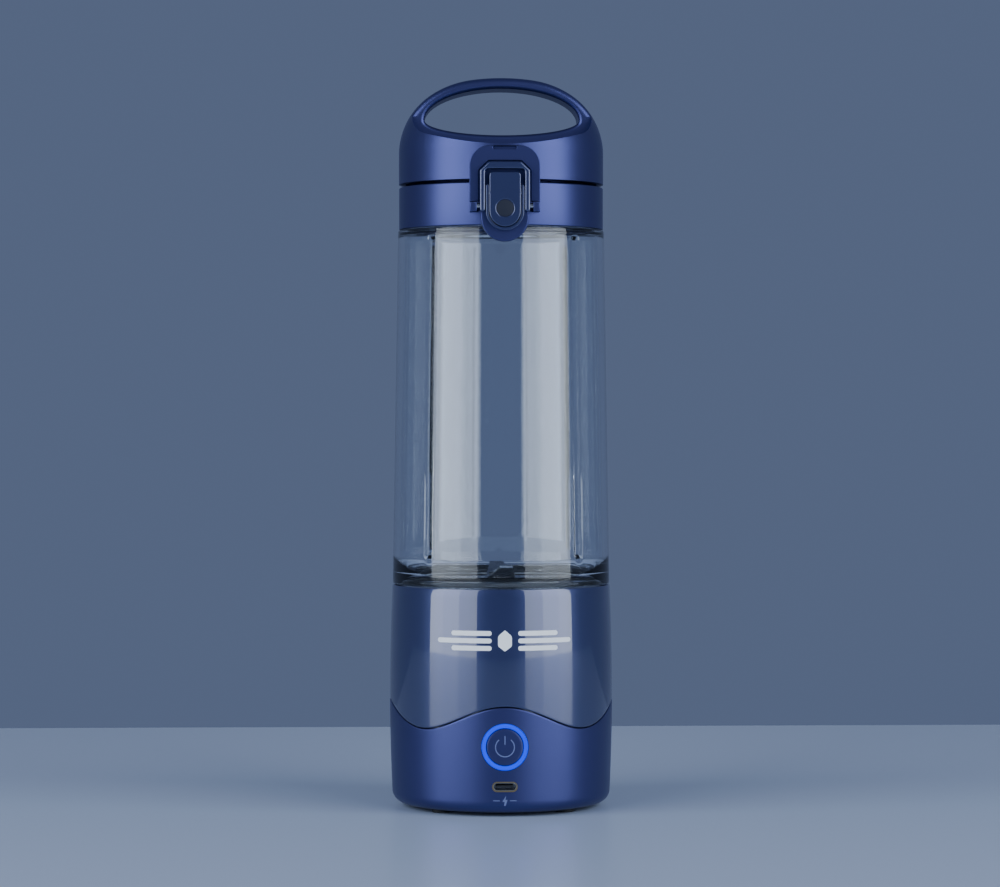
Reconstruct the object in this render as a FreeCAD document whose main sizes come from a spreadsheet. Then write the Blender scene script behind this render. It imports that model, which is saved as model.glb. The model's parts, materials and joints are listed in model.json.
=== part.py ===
import FreeCAD, Part

import math
import os
import re

import Sketcher
from FreeCAD import Placement, Rotation, Vector

# Portable blender. Millimetres and degrees, +Z up, front at -Y, origin on the surface it stands on.

# Driving dimensions, each set by itself.
SIZES = {
    # stack of heights
    "foot_height": 1.4,
    "base_height": 84.2,
    "cup_height": 137.0,
    "collar_height": 16.2,
    "lid_gap": 1.3,
    "cap_height": 41.2,
    # clearances
    "slip_gap": 0.1,
    "rest_gap": 0.2,
    "free_gap": 0.4,
    "press_gap": 0.02,
    "overcut": 1.0,
    "running_gap": 0.05,
    # motor base housings
    "base_foot_radius": 41.9,
    "base_rim_radius": 42.1,
    "base_bulge": 1.05,
    "base_edge_radius": 4.8,
    "housing_wall": 2.2,
    "floor_height": 4.6,
    "wave_height": 35.6,
    "wave_rise": 4.5,
    "wave_count": 4,
    "seam_groove": 0.3,
    "sleeve_wall": 1.3,
    "sleeve_overlap": 6.5,
    "sleeve_notch": 2.0,
    "rim_break": 0.4,
    "cover_radius": 29.0,
    "cover_thickness": 2.2,
    "ledge_width": 6.2,
    "cover_screw_radius": 1.25,
    "cover_screw_circle": 25.8,
    "foot_radius": 3.6,
    "foot_circle": 33.2,
    "foot_stem_radius": 1.6,
    "foot_stem_length": 2.2,
    # button, ring and socket on the front
    "button_height": 25.1,
    "button_radius": 7.0,
    "button_gap": 0.15,
    "button_travel": 0.8,
    "button_plate": 2.4,
    "ring_radius": 8.8,
    "ring_depth": 4.6,
    "socket_height": 10.2,
    "port_width": 8.94,
    "port_thickness": 3.2,
    "port_wall": 0.3,
    "port_length": 9.0,
    "port_rim": 0.4,
    "port_back": 1.2,
    "tongue_width": 6.7,
    "tongue_thickness": 0.7,
    "tongue_length": 6.5,
    # electronics and power
    "board_front": 32.6,
    "board_thickness": 1.6,
    "board_width": 28.0,
    "board_height": 32.0,
    "board_lift": 7.0,
    "switch_width": 6.2,
    "switch_depth": 3.4,
    "plunger_length": 1.0,
    "plunger_radius": 1.7,
    "cell_radius": 9.1,
    "cell_length": 50.0,
    "cell_offset": 27.0,
    "holder_wall": 1.2,
    "holder_height": 12.0,
    "holder_floor": 1.2,
    "holder_beam": 10.0,
    "terminal_height": 1.0,
    "motor_radius": 14.3,
    "motor_length": 36.0,
    "motor_lift": 8.8,
    "motor_wall": 1.2,
    "motor_cap_thickness": 2.0,
    "motor_shaft_radius": 1.6,
    "motor_shaft_rise": 10.0,
    "shaft_foot": 1.0,
    "bracket_radius": 23.5,
    "bracket_thickness": 2.4,
    "post_radius": 3.0,
    "post_circle": 20.0,
    "bracket_screw_radius": 1.2,
    "bracket_screw_head": 1.4,
    "bracket_screw_length": 6.0,
    # blade well and blades
    "well_depth": 17.6,
    "well_floor": 3.0,
    "well_ledge": 5.0,
    "well_drop": 0.3,
    "boss_radius": 9.0,
    "boss_rise": 7.0,
    "boss_drop": 6.4,
    "shaft_radius": 2.5,
    "shoulder_width": 2.0,
    "shoulder_gap": 0.4,
    "shaft_short": 1.0,
    "bearing_radius": 5.5,
    "bearing_length": 3.0,
    "seal_radius": 6.5,
    "seal_length": 2.5,
    "coupling_radius": 4.2,
    "blade_reach": 24.0,
    "blade_width": 11.0,
    "blade_thickness": 1.2,
    "blade_flat": 6.5,
    "blade_point": 1.0,
    "blade_lift": 2.0,
    "lower_blade_fall": 1.75,
    "upper_blade_rise": 12.0,
    "nut_width": 8.0,
    "nut_height": 4.0,
    "nut_dome": 2.6,
    # cup
    "cup_foot_radius": 42.0,
    "cup_top_radius": 39.9,
    "cup_wall": 2.6,
    "neck_wall": 2.4,
    "neck_radius": 36.6,
    "neck_length": 10.5,
    "cup_gasket_height": 2.0,
    "mouth_radius": 35.6,
    "mouth_length": 13.0,
    "rib_width": 2.9,
    "rib_depth": 1.7,
    "rib_inset": 4.0,
    "rib_bite": 0.6,
    "cup_floor_rise": 6.0,
    "cup_shoulder_depth": 3.0,
    # threads
    "cup_pitch": 5.0,
    "lid_pitch": 4.0,
    "thread_reach": 1.4,
    "thread_root": 1.8,
    "thread_crest": 0.9,
    "thread_gap": 0.4,
    "thread_bite": 0.3,
    "cup_thread_drop": 3.4,
    "lid_thread_rise": 3.6,
    # lid collar
    "collar_radius": 39.5,
    "collar_wall": 2.1,
    "deck_thickness": 2.2,
    "collar_chamfer": 0.5,
    "spout_radius": 9.0,
    "spout_wall": 1.8,
    "spout_offset": 18.0,
    "spout_rise": 8.7,
    "lug_seat": 2.4,
    "lid_gasket_height": 1.1,
    # flip cap
    "dome_top_radius": 85.8,
    "dome_top_angle": 8.9,
    "dome_mid_radius": 34.9,
    "dome_mid_angle": 34.3,
    "dome_side_radius": 27.6,
    "handle_thickness": 18.0,
    "opening_width": 59.4,
    "opening_drop": 16.8,
    "opening_rise": 12.3,
    "opening_fall": 5.6,
    "trough_drop": 28.1,
    "trough_sag": 4.8,
    "trough_corner_x": 29.3,
    "trough_side_x": 34.5,
    "trough_side_rise": 7.0,
    "handle_edge": 1.6,
    "handle_round": 2.4,
    "cap_wall": 2.5,
    "plug_radius": 9.4,
    "plug_entry": 1.6,
    # latch on the front
    "hood_half_width": 13.25,
    "hood_height": 12.3,
    "hood_leg": 8.7,
    "hood_corner": 7.5,
    "hood_front": 41.8,
    "hood_gap_half": 9.9,
    "hood_gap_height": 6.7,
    "hood_gap_floor": 39.7,
    "slot_width": 9.0,
    "slot_height": 1.0,
    "slot_drop": 1.4,
    "ring_half_width": 9.5,
    "ring_leg": 2.1,
    "ring_bar": 2.7,
    "ring_back": 40.4,
    "ring_front": 44.4,
    "ring_corner": 3.5,
    "ring_pivot_y": 42.4,
    "ring_pivot_drop": 9.2,
    "ring_rise": 16.5,
    "ring_foot": 2.2,
    "ring_inner_corner": 1.0,
    "ring_pin_radius": 0.85,
    "ear_width": 2.5,
    "ear_gap": 1.1,
    "ear_reach": 1.6,
    "ear_seat": 3.4,
    "ear_top": 1.4,
    "tab_half_width": 9.0,
    "tab_centre_rise": 2.6,
    "tab_front": 42.4,
    "tab_pocket_floor": 41.4,
    "button_half_width": 5.9,
    "button_side_gap": 0.2,
    "latch_foot_rise": 5.0,
    "latch_top_rise": 19.5,
    "latch_back": 42.7,
    "latch_front": 45.0,
    "latch_hook_back": 40.3,
    "latch_hook_height": 2.5,
    "spring_seat": 1.1,
    "latch_pivot_y": 43.4,
    "latch_pivot_drop": 4.3,
    "latch_pin_radius": 0.8,
    "latch_boss_radius": 1.6,
    "lug_half_width": 7.2,
    "dimple_radius": 3.34,
    "dimple_depth": 0.4,
    "dimple_rise": 6.0,
    # rear hinge
    "hinge_y": 41.6,
    "hinge_barrel": 3.4,
    "hinge_pin_radius": 1.25,
    "knuckle_inner": 2.6,
    "knuckle_outer": 6.6,
    "lug_inner": 7.0,
    "lug_outer": 11.0,
    "spring_radius": 2.0,
    "spring_wire": 0.3,
    "spring_pitch": 0.8,
    "latch_spring_radius": 1.3,
    "latch_spring_wire": 0.2,
    "latch_spring_pitch": 0.5,
    "latch_spring_drop": 2.0,
}

# Places worked out from the driving dimensions, in the same units.
PLACES = {
    "seam": "foot_height + base_height",
    "collar_bottom": "seam + cup_height",
    "collar_top": "collar_bottom + collar_height",
    "cap_bottom": "collar_top + lid_gap",
    "cap_top": "cap_bottom + cap_height",
    "base_floor": "foot_height + floor_height",
    "button_z": "foot_height + button_height",
    "port_z": "foot_height + socket_height",
    "base_front": "base_foot_radius + base_bulge",
    "wave_z": "foot_height + wave_height",
    "wave_top": "wave_z + wave_rise",
    "sleeve_outer": "base_foot_radius - housing_wall - slip_gap",
    "sleeve_inner": "sleeve_outer - sleeve_wall",
    "sleeve_bottom": "wave_z - sleeve_overlap",
    "well_bottom": "seam - well_depth",
    "well_under": "well_bottom - well_floor",
    "well_outer": "base_rim_radius - housing_wall - slip_gap",
    "socket_inner": "neck_radius + thread_reach + thread_gap",
    "ledge_z": "well_bottom + well_ledge",
    "boss_top": "well_bottom + boss_rise",
    "boss_bottom": "well_under - boss_drop",
    "neck_inner": "neck_radius - neck_wall",
    "neck_bottom": "seam + rest_gap - neck_length",
    "cup_shoulder": "collar_bottom - rest_gap",
    "mouth_inner": "mouth_radius - neck_wall",
    "mouth_top": "collar_bottom - rest_gap + mouth_length",
    "collar_inner": "collar_radius - collar_wall",
    "deck_under": "collar_top - deck_thickness",
    "spout_top": "collar_top + spout_rise",
    "ear_inner": "ring_half_width + ear_gap",
    "ear_outer": "ear_inner + ear_width",
    "cap_ceiling": "cap_top - trough_drop - cap_wall",
    "cap_inner": "collar_radius - cap_wall",
    "hinge_z": "collar_top + lid_gap / 2",
    "board_bottom": "foot_height + board_lift",
    "motor_bottom": "foot_height + motor_lift",
    "motor_top": "motor_bottom + motor_length",
    "motor_shaft_top": "motor_top + motor_shaft_rise",
    "bracket_top": "motor_top + bracket_thickness",
    "holder_bottom": "base_floor + rest_gap",
    "cell_bottom": "holder_bottom + holder_floor + slip_gap",
    "lower_blade_z": "boss_top + blade_lift",
    "upper_blade_z": "lower_blade_z + 2 * blade_thickness",
    "nut_z": "upper_blade_z + blade_thickness",
    "shaft_top": "nut_z + nut_height - shaft_short",
    "ring_pivot_z": "collar_top - ring_pivot_drop",
    "latch_pivot_z": "collar_top - latch_pivot_drop",
    "latch_foot": "collar_bottom + latch_foot_rise",
    "latch_spring_z": "collar_bottom + dimple_rise - latch_spring_drop",
    "hood_top": "cap_bottom + hood_height",
}

doc = FreeCAD.newDocument("portable_blender")
PARTS = []


def bind(text):
    """The formula with its plain names turned into references to the sheet and the places."""

    def reference(match):
        word = match.group()
        if word in SIZES:
            return "Dim." + word
        if word in PLACES:
            return "At." + word
        return word

    return re.sub(r"[a-z_]+", reference, str(text))


def make_sheet():
    """The driving dimensions as aliased cells, and the places as bound properties."""
    sheet = doc.addObject("Spreadsheet::Sheet", "Dim")
    for row, (alias, size) in enumerate(SIZES.items(), 1):
        sheet.set(f"A{row}", alias.replace("_", " "))
        sheet.set(f"B{row}", str(size))
        sheet.setAlias(f"B{row}", alias)
    doc.recompute()
    places = doc.addObject("App::VarSet", "At")
    for name in PLACES:
        places.addProperty("App::PropertyFloat", name, "Places")
    for name, formula in PLACES.items():
        places.setExpression(name, bind(formula))
    doc.recompute()
    return sheet


SHEET = make_sheet()


def size(formula):
    """Number that a formula has now."""
    result = SHEET.evalExpression(bind(formula))
    return float(getattr(result, "Value", result))


def keep(part, label):
    """Marks a finished object as a sub-part that is written out under its label."""
    part.Label = label
    PARTS.append(part)
    return part


def feature(kind, name, **bound):
    """Part primitive whose properties are bound to formulas."""
    made = doc.addObject(kind, name)
    for prop, formula in bound.items():
        made.setExpression(prop, bind(formula))
    return made


def place(part, x="0", y="0", z="0"):
    """Binds the position of an object."""
    for axis, formula in zip("xyz", (x, y, z)):
        part.setExpression(f"Placement.Base.{axis}", bind(formula))
    return part


def joined(label, *pieces):
    """Fusion of pieces that are one material."""
    fuse = doc.addObject("Part::MultiFuse", label)
    fuse.Shapes = list(pieces)
    return fuse


def cut(label, base, tool):
    """Base with the tool's volume taken away."""
    made = doc.addObject("Part::Cut", label)
    made.Base = base
    made.Tool = tool
    return made


def group(label, pieces):
    """Separate solids that share a node."""
    made = doc.addObject("Part::Compound", label)
    made.Links = list(pieces)
    return made


# ---- sketches -----------------------------------------------------------------------------------


def fix_point(sketch, element, position, x, y):
    """Ties one sketch point to the two formulas of its place."""
    for kind, axis, formula in (("DistanceX", -2, x), ("DistanceY", -1, y)):
        number = size(formula)
        if abs(number) < 1e-9:
            sketch.addConstraint(Sketcher.Constraint("PointOnObject", element, position, axis))
            continue
        index = sketch.addConstraint(Sketcher.Constraint(kind, -1, 1, element, position, number))
        sketch.setExpression(f"Constraints[{index}]", bind(formula))


def add_circle(sketch, x, y, radius):
    """Circle tied to the formulas of its centre and radius."""
    centre = Vector(size(x), size(y), 0)
    element = sketch.addGeometry(Part.Circle(centre, Vector(0, 0, 1), size(radius)), False)
    index = sketch.addConstraint(Sketcher.Constraint("Radius", element, size(radius)))
    sketch.setExpression(f"Constraints[{index}]", bind(radius))
    fix_point(sketch, element, 3, x, y)


def bent_edge(first, last, bulge):
    """Arc from first to last that stands out by bulge on its right-hand side, and its crown."""
    run = last - first
    crown = (first + last) * 0.5 + Vector(run.y, -run.x, 0) * (bulge / run.Length)
    radius = run.Length**2 / (8 * abs(bulge)) + abs(bulge) / 2
    centre = crown + (((first + last) * 0.5) - crown).normalize() * radius
    start, end = (first, last) if bulge > 0 else (last, first)
    angles = [math.atan2(p.y - centre.y, p.x - centre.x) for p in (start, end)]
    if angles[1] < angles[0]:
        angles[1] += 2 * math.pi
    circle = Part.Circle(centre, Vector(0, 0, 1), radius)
    return Part.ArcOfCircle(circle, *angles), crown


def add_outline(sketch, corners):
    """Closed outline through corners (x, y); a third value bulges the edge that leaves a corner."""
    offset = sketch.GeometryCount
    points = [Vector(size(c[0]), size(c[1]), 0) for c in corners]
    ends = []
    count = len(corners)
    crowns = []
    for k, corner in enumerate(corners):
        first, last = points[k], points[(k + 1) % count]
        if len(corner) == 2:
            sketch.addGeometry(Part.LineSegment(first, last), False)
            ends.append((1, 2))
            continue
        bulge = size(corner[2])
        arc, crown = bent_edge(first, last, bulge)
        sketch.addGeometry(arc, False)
        ends.append((1, 2) if bulge > 0 else (2, 1))
        crowns.append((k, crown))
    for k in range(count):
        after = (k + 1) % count
        sketch.addConstraint(
            Sketcher.Constraint("Coincident", offset + k, ends[k][1], offset + after, ends[after][0])
        )
    for k, corner in enumerate(corners):
        fix_point(sketch, offset + k, ends[k][0], corner[0], corner[1])
    for k, crown in crowns:
        (xa, ya, bulge), (xb, yb) = corners[k], corners[(k + 1) % count][:2]
        run = f"sqrt((({xb}) - ({xa}))^2 + (({yb}) - ({ya}))^2)"
        mark = sketch.addGeometry(Part.Point(crown), True)
        sketch.addConstraint(Sketcher.Constraint("PointOnObject", mark, 1, offset + k))
        x = f"(({xa}) + ({xb})) / 2 + ({bulge}) * (({yb}) - ({ya})) / {run}"
        y = f"(({ya}) + ({yb})) / 2 - ({bulge}) * (({xb}) - ({xa})) / {run}"
        fix_point(sketch, mark, 1, x, y)


def new_body(label):
    """Empty PartDesign body."""
    body = doc.addObject("PartDesign::Body", label)
    body.Label = label
    return body


def new_sketch(body, plane, loops, offset="0"):
    """Sketch of closed loops on one of the body's own origin planes."""
    sketch = body.newObject("Sketcher::SketchObject", f"{body.Name}_sketch")
    datum = next(f for f in body.Origin.OriginFeatures if f.Role == plane)
    sketch.AttachmentSupport = [(datum, "")]
    sketch.MapMode = "FlatFace"
    sketch.setExpression("AttachmentOffset.Base.z", bind(offset))
    for loop in loops:
        if loop[0] == "circle":
            add_circle(sketch, *loop[1:])
        else:
            add_outline(sketch, loop)
    return sketch


def turned(body, loops, removes=False):
    """Revolves loops given as (radius, height) about the vertical axis."""
    sketch = new_sketch(body, "XZ_Plane", loops)
    kind = "Groove" if removes else "Revolution"
    made = body.newObject(f"PartDesign::{kind}", f"{body.Name}_{kind}")
    made.Profile = sketch
    made.ReferenceAxis = (sketch, ["V_Axis"])
    made.Angle = 360
    return made


def block(body, plane, loops, low, high, removes=False):
    """Straight block between two distances along the plane's normal.

    XY counts height, YZ counts X, and XZ counts forward, towards -Y.
    """
    sketch = new_sketch(body, plane, loops, high if removes else low)
    kind = "Pocket" if removes else "Pad"
    made = body.newObject(f"PartDesign::{kind}", f"{body.Name}_{kind}")
    made.Profile = sketch
    made.setExpression("Length", bind(f"({high}) - ({low})"))
    return made


def rectangle(x_low, x_high, y_low, y_high):
    """Loop of a rectangle."""
    return [(x_low, y_low), (x_high, y_low), (x_high, y_high), (x_low, y_high)]


def stadium(half_width, half_height, y):
    """Loop of a slot with round ends, centred on x = 0."""
    flat = f"({half_width}) - ({half_height})"
    return [
        (f"-({flat})", f"{y} - ({half_height})"),
        (flat, f"{y} - ({half_height})", half_height),
        (flat, f"{y} + ({half_height})"),
        (f"-({flat})", f"{y} + ({half_height})", half_height),
    ]


def ring_of(count, first_angle, circle):
    """Formulas of the places of things spaced evenly on a circle."""
    angles = [first_angle + 360 / count * k for k in range(count)]
    return [(f"({circle}) * cos({a} deg)", f"({circle}) * sin({a} deg)") for a in angles]


def thread(body, radius, outwards, start, pitch, turns):
    """Helical ridge on a cylinder wall, standing outwards or inwards from it."""
    side = "+" if outwards else "-"
    back = "-" if outwards else "+"
    root, tip = f"{radius} {back} thread_bite", f"{radius} {side} thread_reach"
    profile = [
        (root, f"{start} - thread_root / 2"),
        (tip, f"{start} - thread_crest / 2"),
        (tip, f"{start} + thread_crest / 2"),
        (root, f"{start} + thread_root / 2"),
    ]
    if not outwards:
        profile.reverse()
    sketch = new_sketch(body, "XZ_Plane", [profile])
    ridge = body.newObject("PartDesign::AdditiveHelix", f"{body.Name}_thread")
    ridge.Profile = sketch
    ridge.ReferenceAxis = (sketch, ["V_Axis"])
    ridge.Mode = "pitch-turns-angle"
    ridge.setExpression("Pitch", bind(pitch))
    ridge.Turns = turns
    return ridge


def coil(label, radius, wire, pitch, turns):
    """Round-wire spring along its own Z axis; its first coil starts at the origin's height."""
    spring = new_body(label)
    sketch = new_sketch(spring, "XZ_Plane", [("circle", radius, "0", wire)])
    wound = spring.newObject("PartDesign::AdditiveHelix", f"{label}_coils")
    wound.Profile = sketch
    wound.ReferenceAxis = (sketch, ["V_Axis"])
    wound.Mode = "pitch-turns-angle"
    wound.setExpression("Pitch", bind(pitch))
    wound.Turns = turns
    return spring


# ---- motor base ---------------------------------------------------------------------------------


def barrel(inset="0"):
    """Loop of the base's barrel shape, drawn in from its outer face by an inset."""
    return [
        ("0", "foot_height"),
        (f"base_foot_radius - ({inset})", "foot_height", "base_bulge"),
        (f"base_rim_radius - ({inset})", "seam"),
        ("0", "seam"),
    ]


def trim_to_barrel(body):
    """Cuts a body's front flush with the outer face of the base."""
    rim = [
        ("base_foot_radius", "foot_height", "base_bulge"),
        ("base_rim_radius", "seam"),
        ("base_rim_radius + 20", "seam"),
        ("base_foot_radius + 20", "foot_height"),
    ]
    turned(body, [rim], removes=True)


def wave_solid(label, lift):
    """Ring-shaped tool that takes one side of the wavy parting line, and half of its groove."""
    middle = size("wave_z") - math.copysign(size("seam_groove") / 2, lift)
    rise = size("wave_rise")
    count = int(size("wave_count"))
    angles = [2 * math.pi * k / (count * 12) for k in range(count * 12)]
    rims = []
    for radius in (size("sleeve_outer + running_gap"), size("base_rim_radius + 20")):
        points = []
        for a in angles:
            height = middle + rise * math.cos(count * a)
            points.append(Vector(radius * math.cos(a), radius * math.sin(a), height))
        curve = Part.BSplineCurve()
        curve.interpolate(points, PeriodicFlag=True)
        rims.append(curve.toShape())
    face = Part.makeRuledSurface(*rims)
    tool = doc.addObject("Part::Feature", label)
    tool.Shape = face.extrude(Vector(0, 0, lift))
    return tool


def lower_housing():
    """Satin lower shell with its floor, button hole, port hole and cover recess."""
    body = new_body("lower_housing_shell")
    solid = turned(body, [barrel()])
    doc.recompute()
    foot = size("foot_height")
    rim = [
        f"Edge{n}"
        for n, edge in enumerate(solid.Shape.Edges, 1)
        if edge.BoundBox.ZMax < foot + 0.01 and edge.Length > 2 * size("base_foot_radius")
    ]
    rounded = body.newObject("PartDesign::Fillet", "bottom_edge")
    rounded.Base = (solid, rim)
    rounded.setExpression("Radius", bind("base_edge_radius"))
    body.Tip = rounded
    inside = barrel("housing_wall")
    inside[0] = ("0", "base_floor")
    inside[1] = ("base_foot_radius - housing_wall", "base_floor", "base_bulge")
    turned(body, [inside], removes=True)
    cover = [("circle", "0", "0", "cover_radius + rest_gap")]
    recess_top = "foot_height + cover_thickness + rest_gap"
    block(body, "XY_Plane", cover, "foot_height - overcut", recess_top, removes=True)
    opening = [("circle", "0", "0", "cover_radius - ledge_width")]
    block(body, "XY_Plane", opening, "foot_height", "base_floor + overcut", removes=True)
    stems = [("circle", x, y, "foot_stem_radius") for x, y in ring_of(4, 45, "foot_circle")]
    block(body, "XY_Plane", stems, "foot_height - overcut", "foot_height + foot_stem_length", removes=True)
    screw_places = ring_of(4, 0, "cover_screw_circle")
    pilots = [("circle", x, y, "cover_screw_radius + running_gap") for x, y in screw_places]
    block(body, "XY_Plane", pilots, "foot_height", "base_floor + overcut", removes=True)
    hole = [("circle", "0", "button_z", "ring_radius + slip_gap")]
    block(body, "XZ_Plane", hole, "board_front", "base_front + 10", removes=True)
    port = stadium("port_width / 2 + port_rim", "port_thickness / 2 + port_rim", "port_z")
    block(body, "XZ_Plane", [port], "board_front", "base_front + 10", removes=True)
    above = wave_solid("above_parting_line", size("seam"))
    keep(cut("lower_housing", body, above), "lower_housing")


def upper_housing():
    """Glossy upper shell with the sleeve that centres it in the lower one."""
    body = new_body("upper_housing_shell")
    shell = [
        ("base_foot_radius - housing_wall", "foot_height", "base_bulge"),
        ("base_rim_radius - housing_wall", "seam"),
        ("base_rim_radius - rim_break", "seam"),
        ("base_rim_radius", "seam - rim_break", "-base_bulge"),
        ("base_foot_radius", "foot_height"),
    ]
    turned(body, [shell])
    sleeve = [
        ("sleeve_inner", "sleeve_bottom"),
        ("sleeve_outer", "sleeve_bottom"),
        ("sleeve_outer", "wave_top + 2"),
        ("base_foot_radius - 0.3 * housing_wall", "wave_top + 4"),
        ("base_foot_radius - 0.3 * housing_wall", "wave_top + 6"),
        ("sleeve_inner", "wave_top + 6"),
    ]
    turned(body, [sleeve])
    side, top = "ring_radius + sleeve_notch", "button_z + ring_radius + sleeve_notch"
    notch = rectangle(f"-({side})", side, "sleeve_bottom - overcut", top)
    block(body, "XZ_Plane", [notch], "board_front", "sleeve_outer", removes=True)
    below = wave_solid("below_parting_line", -size("seam"))
    keep(cut("upper_housing", body, below), "upper_housing")


def bottom_parts():
    """Cover plate, its screws and the four feet."""
    body = new_body("bottom_cover")
    plate = [("circle", "0", "0", "cover_radius")]
    block(body, "XY_Plane", plate, "foot_height", "foot_height + cover_thickness")
    screw_places = ring_of(4, 0, "cover_screw_circle")
    below, above = "foot_height - overcut", "foot_height + cover_thickness + overcut"
    shanks = [("circle", x, y, "cover_screw_radius + rest_gap") for x, y in screw_places]
    block(body, "XY_Plane", shanks, below, above, removes=True)
    heads = [("circle", x, y, "2 * cover_screw_radius + rest_gap") for x, y in screw_places]
    block(body, "XY_Plane", heads, below, "foot_height + cover_thickness / 2", removes=True)
    keep(body, "bottom_cover")

    screws = []
    for n, (x, y) in enumerate(screw_places, 1):
        head = feature("Part::Cylinder", f"cover_screw_head_{n}", Radius="2 * cover_screw_radius",
                       Height="cover_thickness / 2 - slip_gap")
        shank = feature("Part::Cylinder", f"cover_screw_shank_{n}", Radius="cover_screw_radius",
                        Height="floor_height - free_gap")
        for piece in (head, shank):
            place(piece, x, y, "foot_height + slip_gap")
        screws.append(joined(f"cover_screw_{n}", head, shank))
    keep(group("cover_screws", screws), "cover_screws")

    feet = []
    for n, (x, y) in enumerate(ring_of(4, 45, "foot_circle"), 1):
        pad = feature("Part::Cylinder", f"foot_pad_{n}", Radius="foot_radius", Height="foot_height")
        stem = feature("Part::Cylinder", f"foot_stem_{n}", Radius="foot_stem_radius - slip_gap",
                       Height="foot_height + foot_stem_length - slip_gap")
        feet.append(joined(f"foot_{n}", place(pad, x, y), place(stem, x, y)))
    keep(group("rubber_feet", feet), "rubber_feet")


def front_controls():
    """Light ring, power button, switch, board and charging port."""
    ring = new_body("led_ring")
    rims = ("ring_radius", "button_radius + button_gap")
    loops = [("circle", "0", "button_z", radius) for radius in rims]
    block(ring, "XZ_Plane", loops, "base_front - ring_depth", "base_front + overcut")
    trim_to_barrel(ring)
    keep(ring, "led_ring")

    button = new_body("power_button")
    plate = [("circle", "0", "button_z", "button_radius")]
    block(button, "XZ_Plane", plate, "base_front - button_plate", "base_front + overcut")
    stud = [("circle", "0", "button_z", "1.3 * plunger_radius")]
    stud_back = "board_front + switch_depth + plunger_length + button_travel + slip_gap"
    block(button, "XZ_Plane", stud, stud_back, "base_front - button_plate")
    trim_to_barrel(button)
    keep(button, "power_button")

    board = new_body("control_board")
    half = "board_width / 2"
    plate = rectangle(f"-{half}", half, "board_bottom", "board_bottom + board_height")
    block(board, "XZ_Plane", [plate], "board_front - board_thickness", "board_front")
    keep(board, "control_board")

    switch = new_body("tact_switch")
    half = "switch_width / 2"
    case = rectangle(f"-{half}", half, f"button_z - {half}", f"button_z + {half}")
    block(switch, "XZ_Plane", [case], "board_front", "board_front + switch_depth")
    plunger = [("circle", "0", "button_z", "plunger_radius")]
    case_front = "board_front + switch_depth"
    block(switch, "XZ_Plane", plunger, case_front, f"{case_front} + plunger_length")
    keep(switch, "tact_switch")

    shell = new_body("usb_shell")
    outer = stadium("port_width / 2", "port_thickness / 2", "port_z")
    inner = stadium("port_width / 2 - port_wall", "port_thickness / 2 - port_wall", "port_z")
    port_front = "board_front + port_length"
    block(shell, "XZ_Plane", [outer], "board_front", port_front)
    block(shell, "XZ_Plane", [inner], "board_front + port_back", f"{port_front} + overcut", removes=True)
    keep(shell, "usb_shell")

    tongue = new_body("usb_tongue")
    half = "tongue_thickness / 2"
    bar = rectangle("-tongue_width / 2", "tongue_width / 2", f"port_z - {half}", f"port_z + {half}")
    block(tongue, "XZ_Plane", [bar], "board_front + port_back", "board_front + port_back + tongue_length")
    keep(tongue, "usb_tongue")


def power_pack():
    """Two cells in a cradle, one each side of the motor."""
    for side, x in (("left", "-cell_offset"), ("right", "cell_offset")):
        cell = new_body(f"battery_cell_{side}")
        loop = [
            ("0", "0"),
            ("cell_radius", "0"),
            ("cell_radius", "cell_length - terminal_height"),
            ("cell_radius / 3", "cell_length - terminal_height"),
            ("cell_radius / 3", "cell_length"),
            ("0", "cell_length"),
        ]
        turned(cell, [loop])
        keep(place(cell, x, "0", "cell_bottom"), f"battery_cell_{side}")
    holder = new_body("battery_holder")
    sides = ("-cell_offset", "cell_offset")
    cups = [("circle", x, "0", "cell_radius + slip_gap + holder_wall") for x in sides]
    beam = rectangle("-cell_offset", "cell_offset", "-holder_beam / 2", "holder_beam / 2")
    block(holder, "XY_Plane", [beam], "holder_bottom", "holder_bottom + holder_floor")
    block(holder, "XY_Plane", cups, "holder_bottom", "holder_bottom + holder_height")
    pockets = [("circle", x, "0", "cell_radius + slip_gap") for x in sides]
    pocket_top = "holder_bottom + holder_height + overcut"
    block(holder, "XY_Plane", pockets, "holder_bottom + holder_floor", pocket_top, removes=True)
    keep(holder, "battery_holder")


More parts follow.
